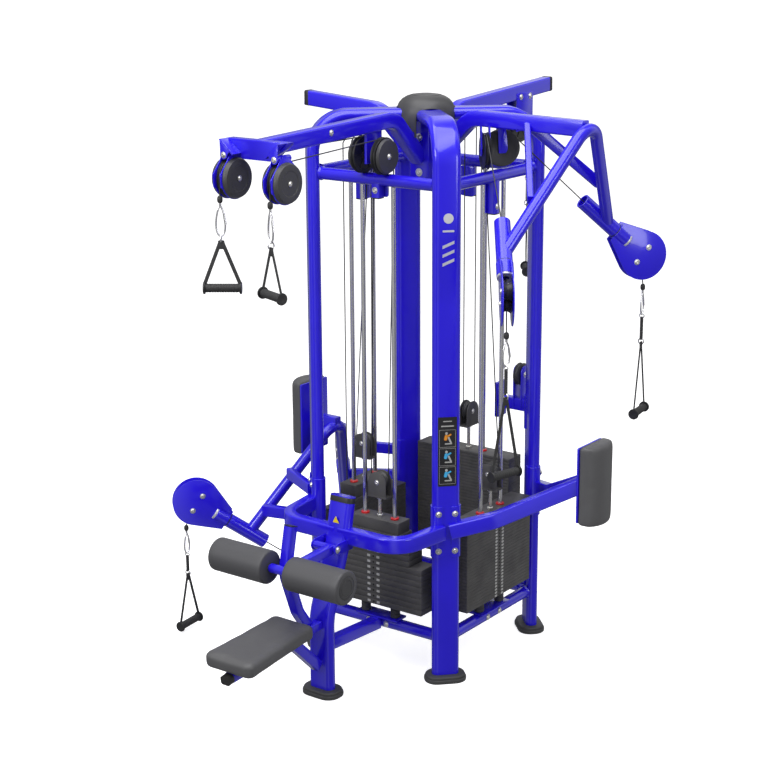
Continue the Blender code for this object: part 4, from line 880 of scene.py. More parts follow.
# --- Seat ------------------------------------------------------------------------------------
# A square adjuster column curves down the front of the post into a level rail with a strut. The
# seat pad is a plywood board with foam under stapled grey vinyl.
def vinyl_grain():
    """Pebbled vinyl: cells for the grain, slow drift for the colour."""
    group = bpy.data.node_groups.new("vinyl_grain", "ShaderNodeTree")
    face = group.interface
    for name, kind, value in (("Colour", "NodeSocketColor", (0.1, 0.1, 0.1, 1.0)),
                              ("Drift Colour", "NodeSocketColor", (0.08, 0.08, 0.08, 1.0)),
                              ("Drift Scale", "NodeSocketFloat", 8.0),
                              ("Grain Scale", "NodeSocketFloat", 600.0),
                              ("Smoothest", "NodeSocketFloat", 0.4),
                              ("Roughest", "NodeSocketFloat", 0.55)):
        socket = face.new_socket(name, in_out="INPUT", socket_type=kind)
        socket.default_value = value
    for name, kind in (("Colour", "NodeSocketColor"), ("Roughness", "NodeSocketFloat"),
                       ("Height", "NodeSocketFloat")):
        face.new_socket(name, in_out="OUTPUT", socket_type=kind)
    nodes = group.nodes
    entry = nodes.new("NodeGroupInput")
    leave = nodes.new("NodeGroupOutput")
    spot = nodes.new("ShaderNodeTexCoord")
    pebble = nodes.new("ShaderNodeTexVoronoi")
    pebble.feature = "SMOOTH_F1"
    drift = nodes.new("ShaderNodeTexNoise")
    drift.inputs["Detail"].default_value = 4.0
    blend = nodes.new("ShaderNodeMix")
    blend.data_type = "RGBA"
    spread = nodes.new("ShaderNodeMapRange")
    group.links.new(spot.outputs["Object"], pebble.inputs["Vector"])
    group.links.new(spot.outputs["Object"], drift.inputs["Vector"])
    group.links.new(entry.outputs["Grain Scale"], pebble.inputs["Scale"])
    group.links.new(entry.outputs["Drift Scale"], drift.inputs["Scale"])
    group.links.new(drift.outputs["Fac"], blend.inputs["Factor"])
    group.links.new(entry.outputs["Colour"], blend.inputs["A"])
    group.links.new(entry.outputs["Drift Colour"], blend.inputs["B"])
    group.links.new(drift.outputs["Fac"], spread.inputs["Value"])
    group.links.new(entry.outputs["Smoothest"], spread.inputs["To Min"])
    group.links.new(entry.outputs["Roughest"], spread.inputs["To Max"])
    group.links.new(blend.outputs["Result"], leave.inputs["Colour"])
    group.links.new(spread.outputs["Result"], leave.inputs["Roughness"])
    group.links.new(pebble.outputs["Distance"], leave.inputs["Height"])
    return group


vinyl = coated("grey_vinyl_pebbled", (0.096, 0.096, 0.100), (0.078, 0.078, 0.082), 0.0, 0.40, 0.55,
               520.0, 0.0004, drift_scale=9.0, group=vinyl_grain())


def cushioned(name, part, nodes, matrix, swell, fill, flat):
    """Inflate a pad: voxel remesh, a short cloth run under pressure, then one subdivision.

    swell caps how far the cover moves; flat is a point and the normal of the board it lies on.
    """
    near_board = 0.004
    frames = 20
    gathered = whole([part], matrix)
    bmesh.ops.recalc_face_normals(gathered, faces=gathered.faces)
    mesh = bpy.data.meshes.new(name)
    gathered.to_mesh(mesh)
    gathered.free()
    pad = bpy.data.objects.new(name, mesh)
    scene.collection.objects.link(pad)
    remesh = pad.modifiers.new("cells", "REMESH")
    remesh.mode = "VOXEL"
    remesh.voxel_size = 0.006
    pad.data = bpy.data.meshes.new_from_object(pad.evaluated_get(bpy.context.evaluated_depsgraph_get()))
    pad.modifiers.clear()
    rest = [vertex.co.copy() for vertex in pad.data.vertices]
    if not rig.quick():
        cloth = pad.modifiers.new("cover", "CLOTH")
        cloth.settings.quality = 6
        cloth.settings.mass = 0.3
        cloth.settings.use_pressure = True
        cloth.settings.uniform_pressure_force = 4.0
        cloth.settings.effector_weights.gravity = 0.0
        cloth.settings.tension_stiffness = 18.0
        cloth.settings.compression_stiffness = 18.0
        cloth.settings.bending_stiffness = 0.6
        cloth.point_cache.frame_start = 1
        cloth.point_cache.frame_end = frames
        for frame_number in range(1, frames + 1):
            scene.frame_set(frame_number)
        pad.data = bpy.data.meshes.new_from_object(pad.evaluated_get(bpy.context.evaluated_depsgraph_get()))
        pad.modifiers.clear()
        scene.frame_set(1)
        for vertex, start in zip(pad.data.vertices, rest):
            move = vertex.co - start
            if move.length > swell:
                move *= swell / move.length
            if (start - flat[0]).dot(flat[1]) < near_board:
                move -= flat[1] * move.dot(flat[1])
            vertex.co = start + move
    smooth = bmesh.new()
    smooth.from_mesh(pad.data)
    for _ in range(3):
        bmesh.ops.smooth_vert(smooth, verts=smooth.verts, factor=0.5, use_axis_x=True, use_axis_y=True,
                              use_axis_z=True)
    smooth.to_mesh(pad.data)
    smooth.free()
    pad.data.materials.clear()
    pad.data.materials.append(vinyl)
    pad.data.shade_smooth()
    finer = pad.modifiers.new("finer", "SUBSURF")
    finer.levels = 1
    finer.render_levels = 1
    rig.ride(pad, "frame")
    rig.replaces(pad, *nodes)
    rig.slot(pad, "grey_vinyl")
    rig.padded(pad, fill)


pulldown = STATIONS["pulldown"]
SEAT_LEAN = math.radians(3.5)
seat_tilt = Matrix.Translation((1.113, 0.0, 0.3460)) @ Matrix.Rotation(SEAT_LEAN, 4, "Y")
seat_place = pulldown @ seat_tilt
board_low = -0.0310
outline = [(-0.212, -0.085), (-0.204, -0.099), (-0.190, -0.106), (0.180, -0.122), (0.198, -0.118),
           (0.208, -0.106), (0.212, -0.090), (0.212, 0.090), (0.208, 0.106), (0.198, 0.118),
           (0.180, 0.122), (-0.190, 0.106), (-0.204, 0.099), (-0.212, 0.085)]
board = slab(outline, board_low, 0.0260, 0.014, 4)
cushioned("seat_cushion", board, ["seat_pad"], seat_place, swell=0.005, fill=0.85,
          flat=(seat_place @ Vector((0.0, 0.0, board_low)), seat_place.to_3x3() @ Vector((0, 0, 1))))
front = 0.7608
rail_z = 0.3135
fall = 0.575 * math.tan(SEAT_LEAN)
column = arc_path([(0.898, -0.018, 0.772), (0.938, -0.018, 0.588), (0.868, -0.018, 0.400),
                   (0.804, -0.018, 0.3115)], 0.12, 12)
parts = [swept(column, flat_oval(0.0418, 0.0418, 0.006, 4), (0.0, 1.0, 0.0)),
         beam((front + 0.0015, 0.0, rail_z), (front + 0.540, 0.0, rail_z - fall * 0.94), 0.044, 0.0338,
              0.004), beam((0.930, 0.0, 0.2915), (0.7720, 0.0, 0.1360), 0.040, 0.045)]
shown("seat_rail", parts, blue, "blue_paint", nodes=["seat_frame"], matrix=pulldown)
parts = [swept([column[0] + Vector((0.0003, 0, 0)), column[0] + (column[0] - column[1]).normalized() *
                0.003], flat_oval(0.0422, 0.0422, 0.0062, 4), (0.0, 1.0, 0.0)),
         beam((front + 0.538, 0.0, rail_z - fall * 0.936), (front + 0.568, 0.0, rail_z - 0.002 - fall),
              0.0448, 0.0360, 0.010)]
shown("seat_rail_caps", parts, black, "dark_plastic", matrix=pulldown)


# --- Knee rollers ----------------------------------------------------------------------------
# A square arm swings up from a yoke on the post; foam sleeves with moulded skins push over both
# ends of its cross rod and are held by end discs.
hinge_out, hinge_z = 0.702, 0.628
ROLLER_OUT, ROLLER_Z = 0.985, 0.617
pivot_arm = [beam((hinge_out, 0.028, hinge_z), (ROLLER_OUT, 0.028, ROLLER_Z), 0.038, 0.038),
             tube((hinge_out, -0.0548, hinge_z), (hinge_out, 0.0548, hinge_z), 0.017, 28),
             tube((ROLLER_OUT, -0.048, ROLLER_Z), (ROLLER_OUT, 0.048, ROLLER_Z), 0.019, 28),
             tube((ROLLER_OUT, -0.314, ROLLER_Z), (ROLLER_OUT, 0.314, ROLLER_Z), 0.0125, 24)]
shown("knee_arm", pivot_arm, blue, "blue_paint", "roller_arm", ["roller_arm"], pulldown)
shown("knee_arm_bolts", [bolt((hinge_out, side * 0.0615, hinge_z), (0, side, 0), 0.012, 0.007)
                         for side in (-1, 1)], zinc, "chrome", "roller_arm", matrix=pulldown)
foam = coated("roller_skin", (0.074, 0.074, 0.080), (0.060, 0.060, 0.066), 0.0, 0.42, 0.56, 700.0, 0.0002,
              group=vinyl.node_tree.nodes["Group"].node_tree)
for name, side in (("roller_left", -1.0), ("roller_right", 1.0)):
    profile = [(0.0130, 0.0556), (0.0600, 0.0556), (0.0648, 0.0568), (0.0672, 0.0596), (0.0680, 0.0640)]
    profile += [(0.0680, 0.0640 + 0.2520 * step / 10.0) for step in range(1, 11)]
    profile += [(0.0672, 0.3204), (0.0648, 0.3232), (0.0600, 0.3246), (0.0470, 0.3246), (0.0460, 0.3226),
                (0.0130, 0.3226)]
    turned_out = aimed((ROLLER_OUT, 0.0, ROLLER_Z), (0, side, 0))
    sleeve = spun(profile, turned_out, 64)
    roller = shown("foam_" + name, [sleeve], foam, "grey_vinyl", name, [name], pulldown, 50.0)
    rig.padded(roller, 0.95)
    disc = spun([(0.0, 0.3222), (0.0452, 0.3222), (0.0452, 0.3238), (0.0440, 0.3247), (0.0330, 0.3247),
                 (0.0320, 0.3234), (0.0300, 0.3234), (0.0290, 0.3247), (0.0, 0.3244)], turned_out, 40)
    shown("end_disc_" + name, [disc], charcoal, "dark_plastic", name, matrix=pulldown)


# --- Chest pads ------------------------------------------------------------------------------
# Half-round foam rolls on a flat board, in the same grey vinyl, one on the rising bars and one
# on the low arch.
pad_half = 0.096
roll_r = 0.1365
roll_turns = [math.radians(-40.0 + 5.0 * step) for step in range(17)]
section = [(0.0, -pad_half)] + [(max(roll_r * math.cos(turn) - 0.058, 0.0), roll_r * math.sin(turn))
                                for turn in roll_turns] + [(0.0, pad_half)]
for name, side, out, low in (("pad_high", "high", 0.8145, 0.698), ("pad_row", "row", 0.6205, 0.737)):
    roll = slab(section, 0.004, 0.346, 0.012, 4)
    place = STATIONS[side] @ Matrix.Translation((out + 0.0004, 0.0, low))
    cushioned("chest_" + name, roll, [name], place, swell=0.004, fill=0.9,
              flat=(place.to_translation(), STATIONS[side].to_3x3() @ Vector((1, 0, 0))))


# --- Weight stacks ---------------------------------------------------------------------------
# Black-coated iron plates with eased edges ride two chromed rods on rubber bumpers over a tray.
# Each plate has a light number label on both sides of its pin hole; the pin hole is a thin near-black disc on the
# face, painted shade in place of the bore.
iron = coated("coated_iron", (0.080, 0.078, 0.078), (0.058, 0.057, 0.057), 0.1, 0.40, 0.54, 500.0,
              0.00018, drift_scale=12.0)
chrome = coated("polished_chrome", (0.84, 0.84, 0.85), (0.76, 0.76, 0.78), 1.0, 0.14, 0.22, 300.0,
                0.000004, drift_scale=30.0)
label = coated("label_print", (0.46, 0.46, 0.45), (0.40, 0.40, 0.39), 0.0, 0.45, 0.55, 800.0, 0.00002)
red = coated("red_nylon", (0.620, 0.010, 0.012), (0.520, 0.008, 0.010), 0.0, 0.30, 0.42, 700.0, 0.00004)
# Near-black for the pin hole discs: painted shade standing in for the dark inside of the bore.
dark = coated("pin_hole_painted_shade", (0.006, 0.006, 0.006), (0.008, 0.008, 0.008), 0.0, 0.7, 0.8, 500.0, 0.00002)

# Each stack: its groups of plates (bottom, top, half width, count), the top weight's upper face
# and half width, and the height of the lifting wheel.
STACKS = {"pulldown": (((0.273, 0.476, 0.246, 8), (0.476, 0.579, 0.183, 4)), 0.655, 0.130, 0.807),
          "high": (((0.273, 0.636, 0.246, 25),), 0.658, 0.246, 0.815),
          "row": (((0.273, 0.590, 0.246, 22),), 0.672, 0.130, 0.833),
          "rear": (((0.273, 0.770, 0.246, 34),), 0.785, 0.246, 0.958)}


def weight(low, high, half):
    """One iron plate: a flat slab with eased rims; the two rods pass through it."""
    eased = min(0.0016, (high - low) * 0.07)
    return slab(flat_oval(0.0996, 2.0 * half - 0.0004, 0.003, 3), low + 0.0003, high - 0.0003, eased, 2)


ROD_SIDE = 0.077
block_half = 0.0455
for name, (levels, top, half, wheel_z) in STACKS.items():
    place = STATIONS[name] @ Matrix.Translation((MID_SIDE, 0.0, 0.0))
    plates = []
    tags = []
    holes = []
    for low, high, wide, count in levels:
        pitch = (high - low) / count
        for index in range(count):
            start = low + pitch * index
            plates.append(weight(start, start + pitch, wide))
            middle = start + pitch * 0.5
            size = min(pitch * 0.60, 0.010)
            for side in (-0.024, 0.024):
                tags.append(plate(flat_oval(0.015, size, 0.001, 2), 0.0004, (0.0501, side, middle),
                                  FACE_OUT, 0.0))
            # The pin hole is a thin near-black disc on the plate face, painted shade in place of a bored hole.
            holes.append(spun([(0.0, 0.0), (size * 0.46, 0.0), (size * 0.46, 0.0006), (0.0, 0.0006)],
                              aimed((0.0497, 0.0, middle), (1, 0, 0)), 12))
    last = levels[-1][1]
    shown("weights_" + name, plates, iron, "black_iron", nodes=["stack_plates_" + name], matrix=place)
    shown("weight_labels_" + name, tags, label, "chrome", matrix=place)
    shown("pin_holes_" + name, holes, dark, "black_iron", matrix=place)

    rods = []
    bumpers = []
    for side in (-ROD_SIDE, ROD_SIDE):
        rods.append(tube((0.0, side, 0.2124), (0.0, side, 2.0510), 0.0095, 24))
        bumpers.append(spun([(0.0097, 0.2165), (0.0190, 0.2165), (0.0208, 0.2185), (0.0208, 0.2330),
                             (0.0185, 0.2350), (0.0185, 0.2370), (0.0208, 0.2390), (0.0208, 0.2530),
                             (0.0185, 0.2550), (0.0185, 0.2570), (0.0208, 0.2590), (0.0205, 0.2700),
                             (0.0180, 0.2726), (0.0097, 0.2726)], Matrix.Translation((0.0, side, 0.0)),
                            32))
    shown("rods_" + name, rods, chrome, "chrome", nodes=["guide_rods_" + name], matrix=place)
    shown("bumpers_" + name, bumpers, rubber, "black_rubber", matrix=place)
    tray = slab(flat_oval(0.0796, 0.2196, 0.008, 4), 0.2098, 0.2156, 0.001, 2)
    shown("tray_" + name, [tray], blue, "blue_paint", matrix=place)

    body = "stack_head_" + name
    head_parts = []
    if half > 0.2:
        head_parts.append(weight(last + 0.0003, top, half))
    else:
        head_parts.append(weight(last + 0.0003, last + 0.024, half))
        head_parts.append(slab(flat_oval(0.088, 2.0 * half - 0.012, 0.006, 4), last + 0.023,
                               top - 0.0002, 0.003, 2))
    shown("top_weight_" + name, head_parts, iron, "black_iron", body, [body], place)
    bushes = [spun([(0.0100, top - 0.004), (0.0180, top - 0.004), (0.0180, top + 0.0050),
                    (0.0165, top + 0.0065), (0.0100, top + 0.0065)],
                   Matrix.Translation((0.0, side, 0.0)), 24) for side in (-ROD_SIDE, ROD_SIDE)]
    shown("bushes_" + name, bushes, red, "dark_plastic", body, matrix=place)
    floor_z = wheel_z - 0.068
    stem = [tube((0.0, 0.0, top - 0.002), (0.0, 0.0, floor_z + 0.004), 0.0078, 20)]
    for level in (top - 0.0002, floor_z - 0.0085):
        stem.append(slab(ring(0.0135, 6), level, level + 0.0080, 0.0008, 1))
    shown("stem_" + name, stem, zinc, "chrome", body, matrix=place)

    turn = Matrix.Rotation(math.radians(90.0 if name == "pulldown" else 0.0), 4, "Z")
    cheek = [(-block_half, floor_z + 0.001), (block_half, floor_z + 0.001)]
    cheek += [(x, wheel_z + y) for x, y in ring(block_half, 36)[:19]]
    housing = [plate(cheek, 0.0019, (0.0, side, 0.0), FACE_SIDE) for side in (-0.0200, 0.0200)]
    housing.append(slab(flat_oval(0.0936, 0.0446, 0.002, 2), floor_z, floor_z + 0.0078, 0.0008, 1))
    shown("pulley_block_" + name, housing, iron, "black_iron", body, matrix=place @ turn)
    sheave = [(0.006, -0.0110), (0.0400, -0.0110), (0.0414, -0.0098), (0.0350, -0.0030), (0.0350, 0.0030),
              (0.0414, 0.0098), (0.0400, 0.0110), (0.006, 0.0110)]
    shown("sheave_" + name, [spun(sheave, aimed((0.0, 0.0, wheel_z), (0, 1, 0)), 40)], charcoal,
          "dark_plastic", body, matrix=place @ turn)
    shown("sheave_bolts_" + name, [bolt((0.0, side * 0.0219, wheel_z), (0, side, 0), 0.009, 0.005)
                                   for side in (-1, 1)], zinc, "chrome", body, matrix=place @ turn)


# --- Pulleys ---------------------------------------------------------------------------------
# Glass-filled nylon wheels with a turned groove, a raised rim and six shallow pockets, on sealed
# bearings. Dark covers close both sides of the swinging brackets and the outer hub wheels.
def pulley(name, side, centre, body):
    grooved = [(0.0069, 0.0108), (0.0160, 0.0108), (0.0170, 0.0098), (0.0200, 0.0070), (0.0600, 0.0070),
               (0.0635, 0.0108), (0.0738, 0.0108), (0.0750, 0.0096), (0.0662, 0.0034),
               (0.0662, -0.0034), (0.0750, -0.0096), (0.0738, -0.0108), (0.0635, -0.0108),
               (0.0600, -0.0070), (0.0200, -0.0070), (0.0170, -0.0098), (0.0160, -0.0108),
               (0.0069, -0.0108)]
    place = STATIONS[side] @ aimed(centre, (0, 1, 0))
    wheel = [spun(grooved, steps=64)]
    for step in range(6):
        rib = slab(flat_oval(0.0420, 0.0040, 0.0010, 2), -0.0100, 0.0100, 0.0006, 1)
        bmesh.ops.transform(rib, matrix=Matrix.Rotation(math.radians(60.0 * step), 4, "Z") @
                            Matrix.Translation((0.0400, 0.0, 0.0)), verts=rib.verts)
        wheel.append(rib)
    shown(name, wheel, black, "dark_plastic", body, [body], place)


SWING_WHEEL = (1.070, 0.120, 2.163)
for hand, side in (("left", -1.0), ("right", 1.0)):
    pulley("hub_pulley_" + hand, "pulldown", (HUB_WHEEL[0], side * HUB_WHEEL[1], HUB_WHEEL[2]),
           "wheel_hub_" + hand)
    cover = [(0.0, 0.0783), (0.010, 0.0783), (0.060, 0.0778), (0.0655, 0.0765), (0.0700, 0.0650),
             (0.0700, 0.0641), (0.0, 0.0641)]
    shown("hub_cover_" + hand,
          [spun(cover, aimed((HUB_WHEEL[0], 0.0, HUB_WHEEL[2]), (0, side, 0)), 48)], charcoal,
          "dark_plastic", matrix=pulldown)
    shown("hub_cover_bolt_" + hand, [bolt((HUB_WHEEL[0], side * 0.0783, HUB_WHEEL[2]), (0, side, 0))],
          zinc, "chrome", matrix=pulldown)

    at = side * SWING_WHEEL[1]
    centre = Vector((SWING_WHEEL[0], at, SWING_WHEEL[2]))
    body = "swivel_pulldown_" + hand
    pulley("swing_pulley_" + hand, "pulldown", centre, "wheel_pulldown_" + hand)
    outline = [(-0.022, 0.088), (-0.060, 0.052)]
    outline += [(0.079 * math.cos(math.radians(140.0 + 6.5 * step)),
                 0.079 * math.sin(math.radians(140.0 + 6.5 * step))) for step in range(31)]
    outline += [(0.082, -0.028), (0.086, 0.020), (0.046, 0.066), (0.030, 0.092)]
    steel = [plate(outline, 0.0019, centre + cheek * Vector((0.0, 0.0175, 0.0)), FACE_SIDE)
             for cheek in (-1.0, 1.0)]
    steel.append(tube((1.029, at, 2.251), (1.1085, at, 2.251), 0.0122, 28))
    saddle = slab(flat_oval(0.048, 0.033, 0.003, 3), 2.241, 2.260, 0.0015, 2)
    bmesh.ops.translate(saddle, vec=(1.063, at, 0.0), verts=saddle.verts)
    steel.append(saddle)
    steel.append(tube(centre - Vector((0.0, 0.018, 0.0)), centre + Vector((0.0, 0.018, 0.0)), axle_r))
    shown("swing_bracket_" + hand, steel, blue, "blue_paint", body, [body], pulldown)
    shell = [(0.0, 0.0376), (0.0120, 0.0376), (0.0125, 0.0366), (0.0460, 0.0362), (0.0480, 0.0378),
             (0.0655, 0.0376), (0.0700, 0.0366), (0.0738, 0.0300), (0.0764, 0.0205), (0.0764, 0.0190),
             (0.0, 0.0190)]
    for cheek in (-1.0, 1.0):
        face = hand + ("_in" if cheek * side < 0 else "_out")
        shown("swing_cover_" + face, [spun(shell, aimed(centre, (0, cheek, 0)), 64)], charcoal,
              "dark_plastic", body, matrix=pulldown)
        shown("swing_bolt_" + face,
              [bolt(centre + cheek * Vector((0.0, 0.0376, 0.0)), (0, cheek, 0), 0.0085, 0.0050)], zinc,
              "chrome", body, matrix=pulldown)
pulley("rear_pulley", "rear", REAR_WHEEL, "wheel_rear")

small = [(0.0, 0.0130), (0.0090, 0.0130), (0.0100, 0.0110), (0.0450, 0.0110), (0.0480, 0.0125),
         (0.0740, 0.0115), (0.0750, 0.0100), (0.0662, 0.0034), (0.0662, -0.0034), (0.0750, -0.0100),
         (0.0740, -0.0115), (0.0480, -0.0125), (0.0450, -0.0110), (0.0100, -0.0110), (0.0090, -0.0130),
         (0.0, -0.0130)]
INBOARD_WHEEL = (0.332, 0.060, 2.185)


def inboard_heading(side):
    """Level direction from an inboard wheel of the high station to its guide tube."""
    return Vector((0.242, side * 0.246, 0.0)).normalized()


inboard = []
gussets = []
for side in (-1.0, 1.0):
    level = inboard_heading(side)
    across = Vector((-level.y, level.x, 0.0))
    centre = Vector((INBOARD_WHEEL[0], side * INBOARD_WHEEL[1], INBOARD_WHEEL[2]))
    inboard.append(spun(small, aimed(centre, across), 48))
    turn = Matrix((level, Vector((0.0, 0.0, 1.0)), across)).transposed().to_4x4()
    for offset in (-0.0170, 0.0170):
        gusset = plate([(-0.014, -0.020), (0.014, -0.020), (0.022, -0.008), (0.022, 0.010),
                        (0.012, 0.100), (-0.020, 0.100)], 0.0020, centre + across * offset, turn)
        gussets.append(gusset)
shown("inboard_pulleys", inboard, black, "dark_plastic", matrix=STATIONS["high"])
shown("inboard_gussets", gussets, blue, "blue_paint", matrix=STATIONS["high"])


# --- Swivel heads ----------------------------------------------------------------------------
# Two fan-shaped cheeks are welded to a neck that turns in the end of each guide tube; the cable
# leaves between two small wheels. A split bearing ring shows white at the neck.
ring_white = coated("bearing_ring", (0.70, 0.70, 0.70), (0.60, 0.60, 0.60), 0.5, 0.25, 0.35, 600.0,
                    0.00003)
about_x = Matrix.Rotation(math.radians(90.0), 4, "Y")
sheave_out = 0.160
fan_r = 0.1045
for side in GUIDES:
    for hand, sign in (("left", -1.0), ("right", 1.0)):
        mouth, along = guide(side, sign, GUIDE_LONG)
        flat = along.cross(Vector((0.0, 0.0, 1.0))).normalized()
        frame_turn = Matrix((along, flat.cross(along), flat)).transposed().to_4x4()
        place = STATIONS[side] @ Matrix.Translation(mouth) @ frame_turn
        body = "head_%s_%s" % (side, hand)
        fan = [(0.003, 0.0465), (0.003, -0.0465)]
        fan += [(0.165 + fan_r * math.cos(math.radians(-115.0 + 5.75 * step)),
                 fan_r * math.sin(math.radians(-115.0 + 5.75 * step))) for step in range(41)]
        cheeks = [plate(fan, 0.0020, (0.0, 0.0, offset), Matrix.Identity(4), 0.0009)
                  for offset in (-0.0205, 0.0205)]
        neck = spun([(0.0150, 0.0012), (0.0330, 0.0012), (0.0340, 0.0022), (0.0340, 0.0610),
                     (0.0330, 0.0622), (0.0150, 0.0622)], about_x, 40)
        shown("fan_" + body, cheeks + [neck], blue, "blue_paint", body, [body], place)
        collar = spun([(0.0150, 0.0620), (0.0326, 0.0620), (0.0336, 0.0640), (0.0336, 0.0690),
                       (0.0320, 0.0715), (0.0150, 0.0715)], about_x, 40)
        shown("collar_" + body, [collar], ring_white, "chrome", body, matrix=place)
        gasket = spun([(0.0245, -0.0022), (0.0328, -0.0022), (0.0328, 0.0010), (0.0245, 0.0010)],
                      about_x, 40)
        shown("gasket_" + body, [gasket], black, "dark_plastic", matrix=place)
        wheels = []
        studs = []
        for lift in (-0.0395, 0.0395):
            wheels.append(spun([(0.0, -0.0180), (0.0340, -0.0180), (0.0358, -0.0165), (0.0290, -0.0040),
                                (0.0290, 0.0040), (0.0358, 0.0165), (0.0340, 0.0180), (0.0, 0.0180)],
                               Matrix.Translation((sheave_out, lift, 0.0)), 40))
            studs += [bolt((sheave_out, lift, offset), (0, 0, 1 if offset > 0 else -1), 0.0100, 0.0055)
                      for offset in (-0.0225, 0.0225)]
        shown("sheaves_" + body, wheels, black, "dark_plastic", body, matrix=place)
        shown("studs_" + body, studs, zinc, "chrome", body, matrix=place)


# --- Handles ---------------------------------------------------------------------------------
# Each cable ends in a ball stop and a snap hook. From it hangs a nylon strap in a long V, on some
# stations with a short twisted rope between two rings, and a rubber grip between round flanges.
webbing = coated("nylon_webbing", (0.020, 0.020, 0.022), (0.030, 0.030, 0.032), 0.0, 0.65, 0.80, 1100.0,
                 0.0003)
grip_rubber = coated("grip_rubber", (0.018, 0.018, 0.019), (0.026, 0.026, 0.027), 0.0, 0.55, 0.70,
                     900.0, 0.0002)
# Each handle: its station, the top of its ball stop, the drop from there to the grip and to the
# top of the strap, and the turn of the grip.
HANDLES = {"handle_pulldown_left": ("pulldown", (1.1400, -0.120, 2.104), 0.345, 0.170, 35.0),
           "handle_pulldown_right": ("pulldown", (1.1400, 0.120, 2.104), 0.345, 0.170, -20.0),
           "handle_high_left": ("high", (0.745, -0.534, 1.590), 0.556, 0.255, 75.0),
           "handle_high_right": ("high", (0.745, 0.534, 1.590), 0.556, 0.255, 99.0),
           "handle_row_left": ("row", (0.903, -0.556, 0.490), 0.458, 0.230, 96.0),
           "handle_row_right": ("row", (0.903, 0.556, 0.490), 0.458, 0.230, 96.0),
           "handle_rear": ("rear", (0.7980, 0.0, 2.080), 0.556, 0.255, 125.0)}


def loop_of_wire(centre_z, half_tall, half_wide, wire, twist=0.0, pear=0.0):
    """Closed ring of wire hanging in a vertical plane, wider below by the pear share."""
    points = []
    for step in range(36):
        angle = math.tau * step / 36.0
        x = half_wide * math.cos(angle) * (1.0 - pear * math.sin(angle))
        points.append(Vector((x * math.cos(twist), x * math.sin(twist),
                              centre_z + half_tall * math.sin(angle))))
    return swept(points, ring(wire, 10), (-math.sin(twist), math.cos(twist), 0.0), closed=True)


for name, (side, top, drop, strap_top, yaw) in HANDLES.items():
    place = Matrix.Translation(STATIONS[side] @ Vector(top)) @ Matrix.Rotation(math.radians(yaw), 4, "Z")
    stop = spun([(0.0, -0.0005), (0.0060, -0.0005), (0.0090, -0.0040), (0.0103, -0.0100),
                 (0.0103, -0.0180), (0.0085, -0.0240), (0.0050, -0.0265), (0.0, -0.0265)], steps=28)
    across = Matrix.Translation((0.0, 0.0, -drop)) @ Matrix.Rotation(math.radians(90.0), 4, "Y")
    barrel = [(0.0, -0.0655), (0.0140, -0.0655), (0.0158, -0.0640)]
    for step in range(12):
        at = -0.0600 + 0.1090 * step / 11.0
        barrel += [(0.0164, at), (0.0164, at + 0.0065), (0.0156, at + 0.0075), (0.0156, at + 0.0090)]
    barrel += [(0.0158, 0.0640), (0.0140, 0.0655), (0.0, 0.0655)]
    shown("grip_" + name, [stop, spun(barrel, across, 32)], grip_rubber, "black_rubber", name, [name],
          place)
    flanges = [spun([(0.0, 0.0642), (0.0215, 0.0642), (0.0229, 0.0655), (0.0229, 0.0700),
                     (0.0215, 0.0718), (0.0060, 0.0718), (0.0, 0.0705)],
                    across @ Matrix.Rotation(math.radians(turn), 4, "X"), 32) for turn in (0.0, 180.0)]
    shown("flanges_" + name, flanges, black, "dark_plastic", name, matrix=place)
    strap_peak = -strap_top
    long_hook = strap_top < 0.2
    hook_half = 0.0550 if long_hook else 0.0460
    hook_top = -0.0390
    metal = [tube((0.0, 0.0, -0.0255), (0.0, 0.0, hook_top), 0.0046, 14),
             loop_of_wire(hook_top - hook_half, hook_half, 0.0165, 0.0036, pear=0.28),
             tube((0.0125, 0.0, hook_top - 0.0080 - hook_half * 0.35),
                  (0.0185, 0.0, hook_top - hook_half * 1.25), 0.0044, 12)]
    if not long_hook:
        metal.append(loop_of_wire(-0.1370, 0.0100, 0.0100, 0.0026, math.radians(90.0)))
        metal.append(loop_of_wire(strap_peak + 0.0060, 0.0120, 0.0120, 0.0026, math.radians(90.0)))
        rope_high = -0.1440
        rope_low = strap_peak + 0.0140
        strands = []
        for strand in range(3):
            count = 40
            points = []
            for step in range(count + 1):
                lay = math.tau * (strand / 3.0 + 5.0 * step / count)
                points.append(Vector((0.0036 * math.cos(lay), 0.0036 * math.sin(lay),
                                      rope_high + (rope_low - rope_high) * step / count)))
            strands.append(swept(points, ring(0.0040, 8), (1.0, 0.0, 0.0)))
        shown("rope_" + name, strands, webbing, "black_rubber", name, matrix=place)
    else:
        metal.append(loop_of_wire(strap_peak + 0.0100, 0.0130, 0.0120, 0.0028, math.radians(90.0)))
    shown("hook_" + name, metal, chrome, "chrome", name, matrix=place)
    band = []
    strap_foot = 0.0640
    for hand in (-1.0, 1.0):
        line = arc_path([(hand * 0.004, 0.0, strap_peak - 0.002), (hand * strap_foot, 0.0, -drop + 0.020),
                         (hand * strap_foot, 0.0, -drop)], 0.006, 4)
        band.append(swept(line, flat_oval(0.0140, 0.0034, 0.0010, 2), (1.0, 0.0, 0.0)))
    band.append(plate(flat_oval(0.0240, 0.0330, 0.0050, 4), 0.0026, (0.0, 0.0, strap_peak - 0.012),
                      FACE_SIDE))
    shown("strap_" + name, band, webbing, "black_rubber", name, matrix=place)


# --- Cables ----------------------------------------------------------------------------------
# Nylon-coated steel cable, 5 mm, from each lifting block over the upper wheels and out to the
# handles. Runs between moving pieces stretch with them.
coat = coated("cable_coat", (0.020, 0.020, 0.022), (0.028, 0.028, 0.030), 0.0, 0.30, 0.42, 1500.0,
              0.00005)
LAY = 0.0701
BLOCK_LAY = 0.0443


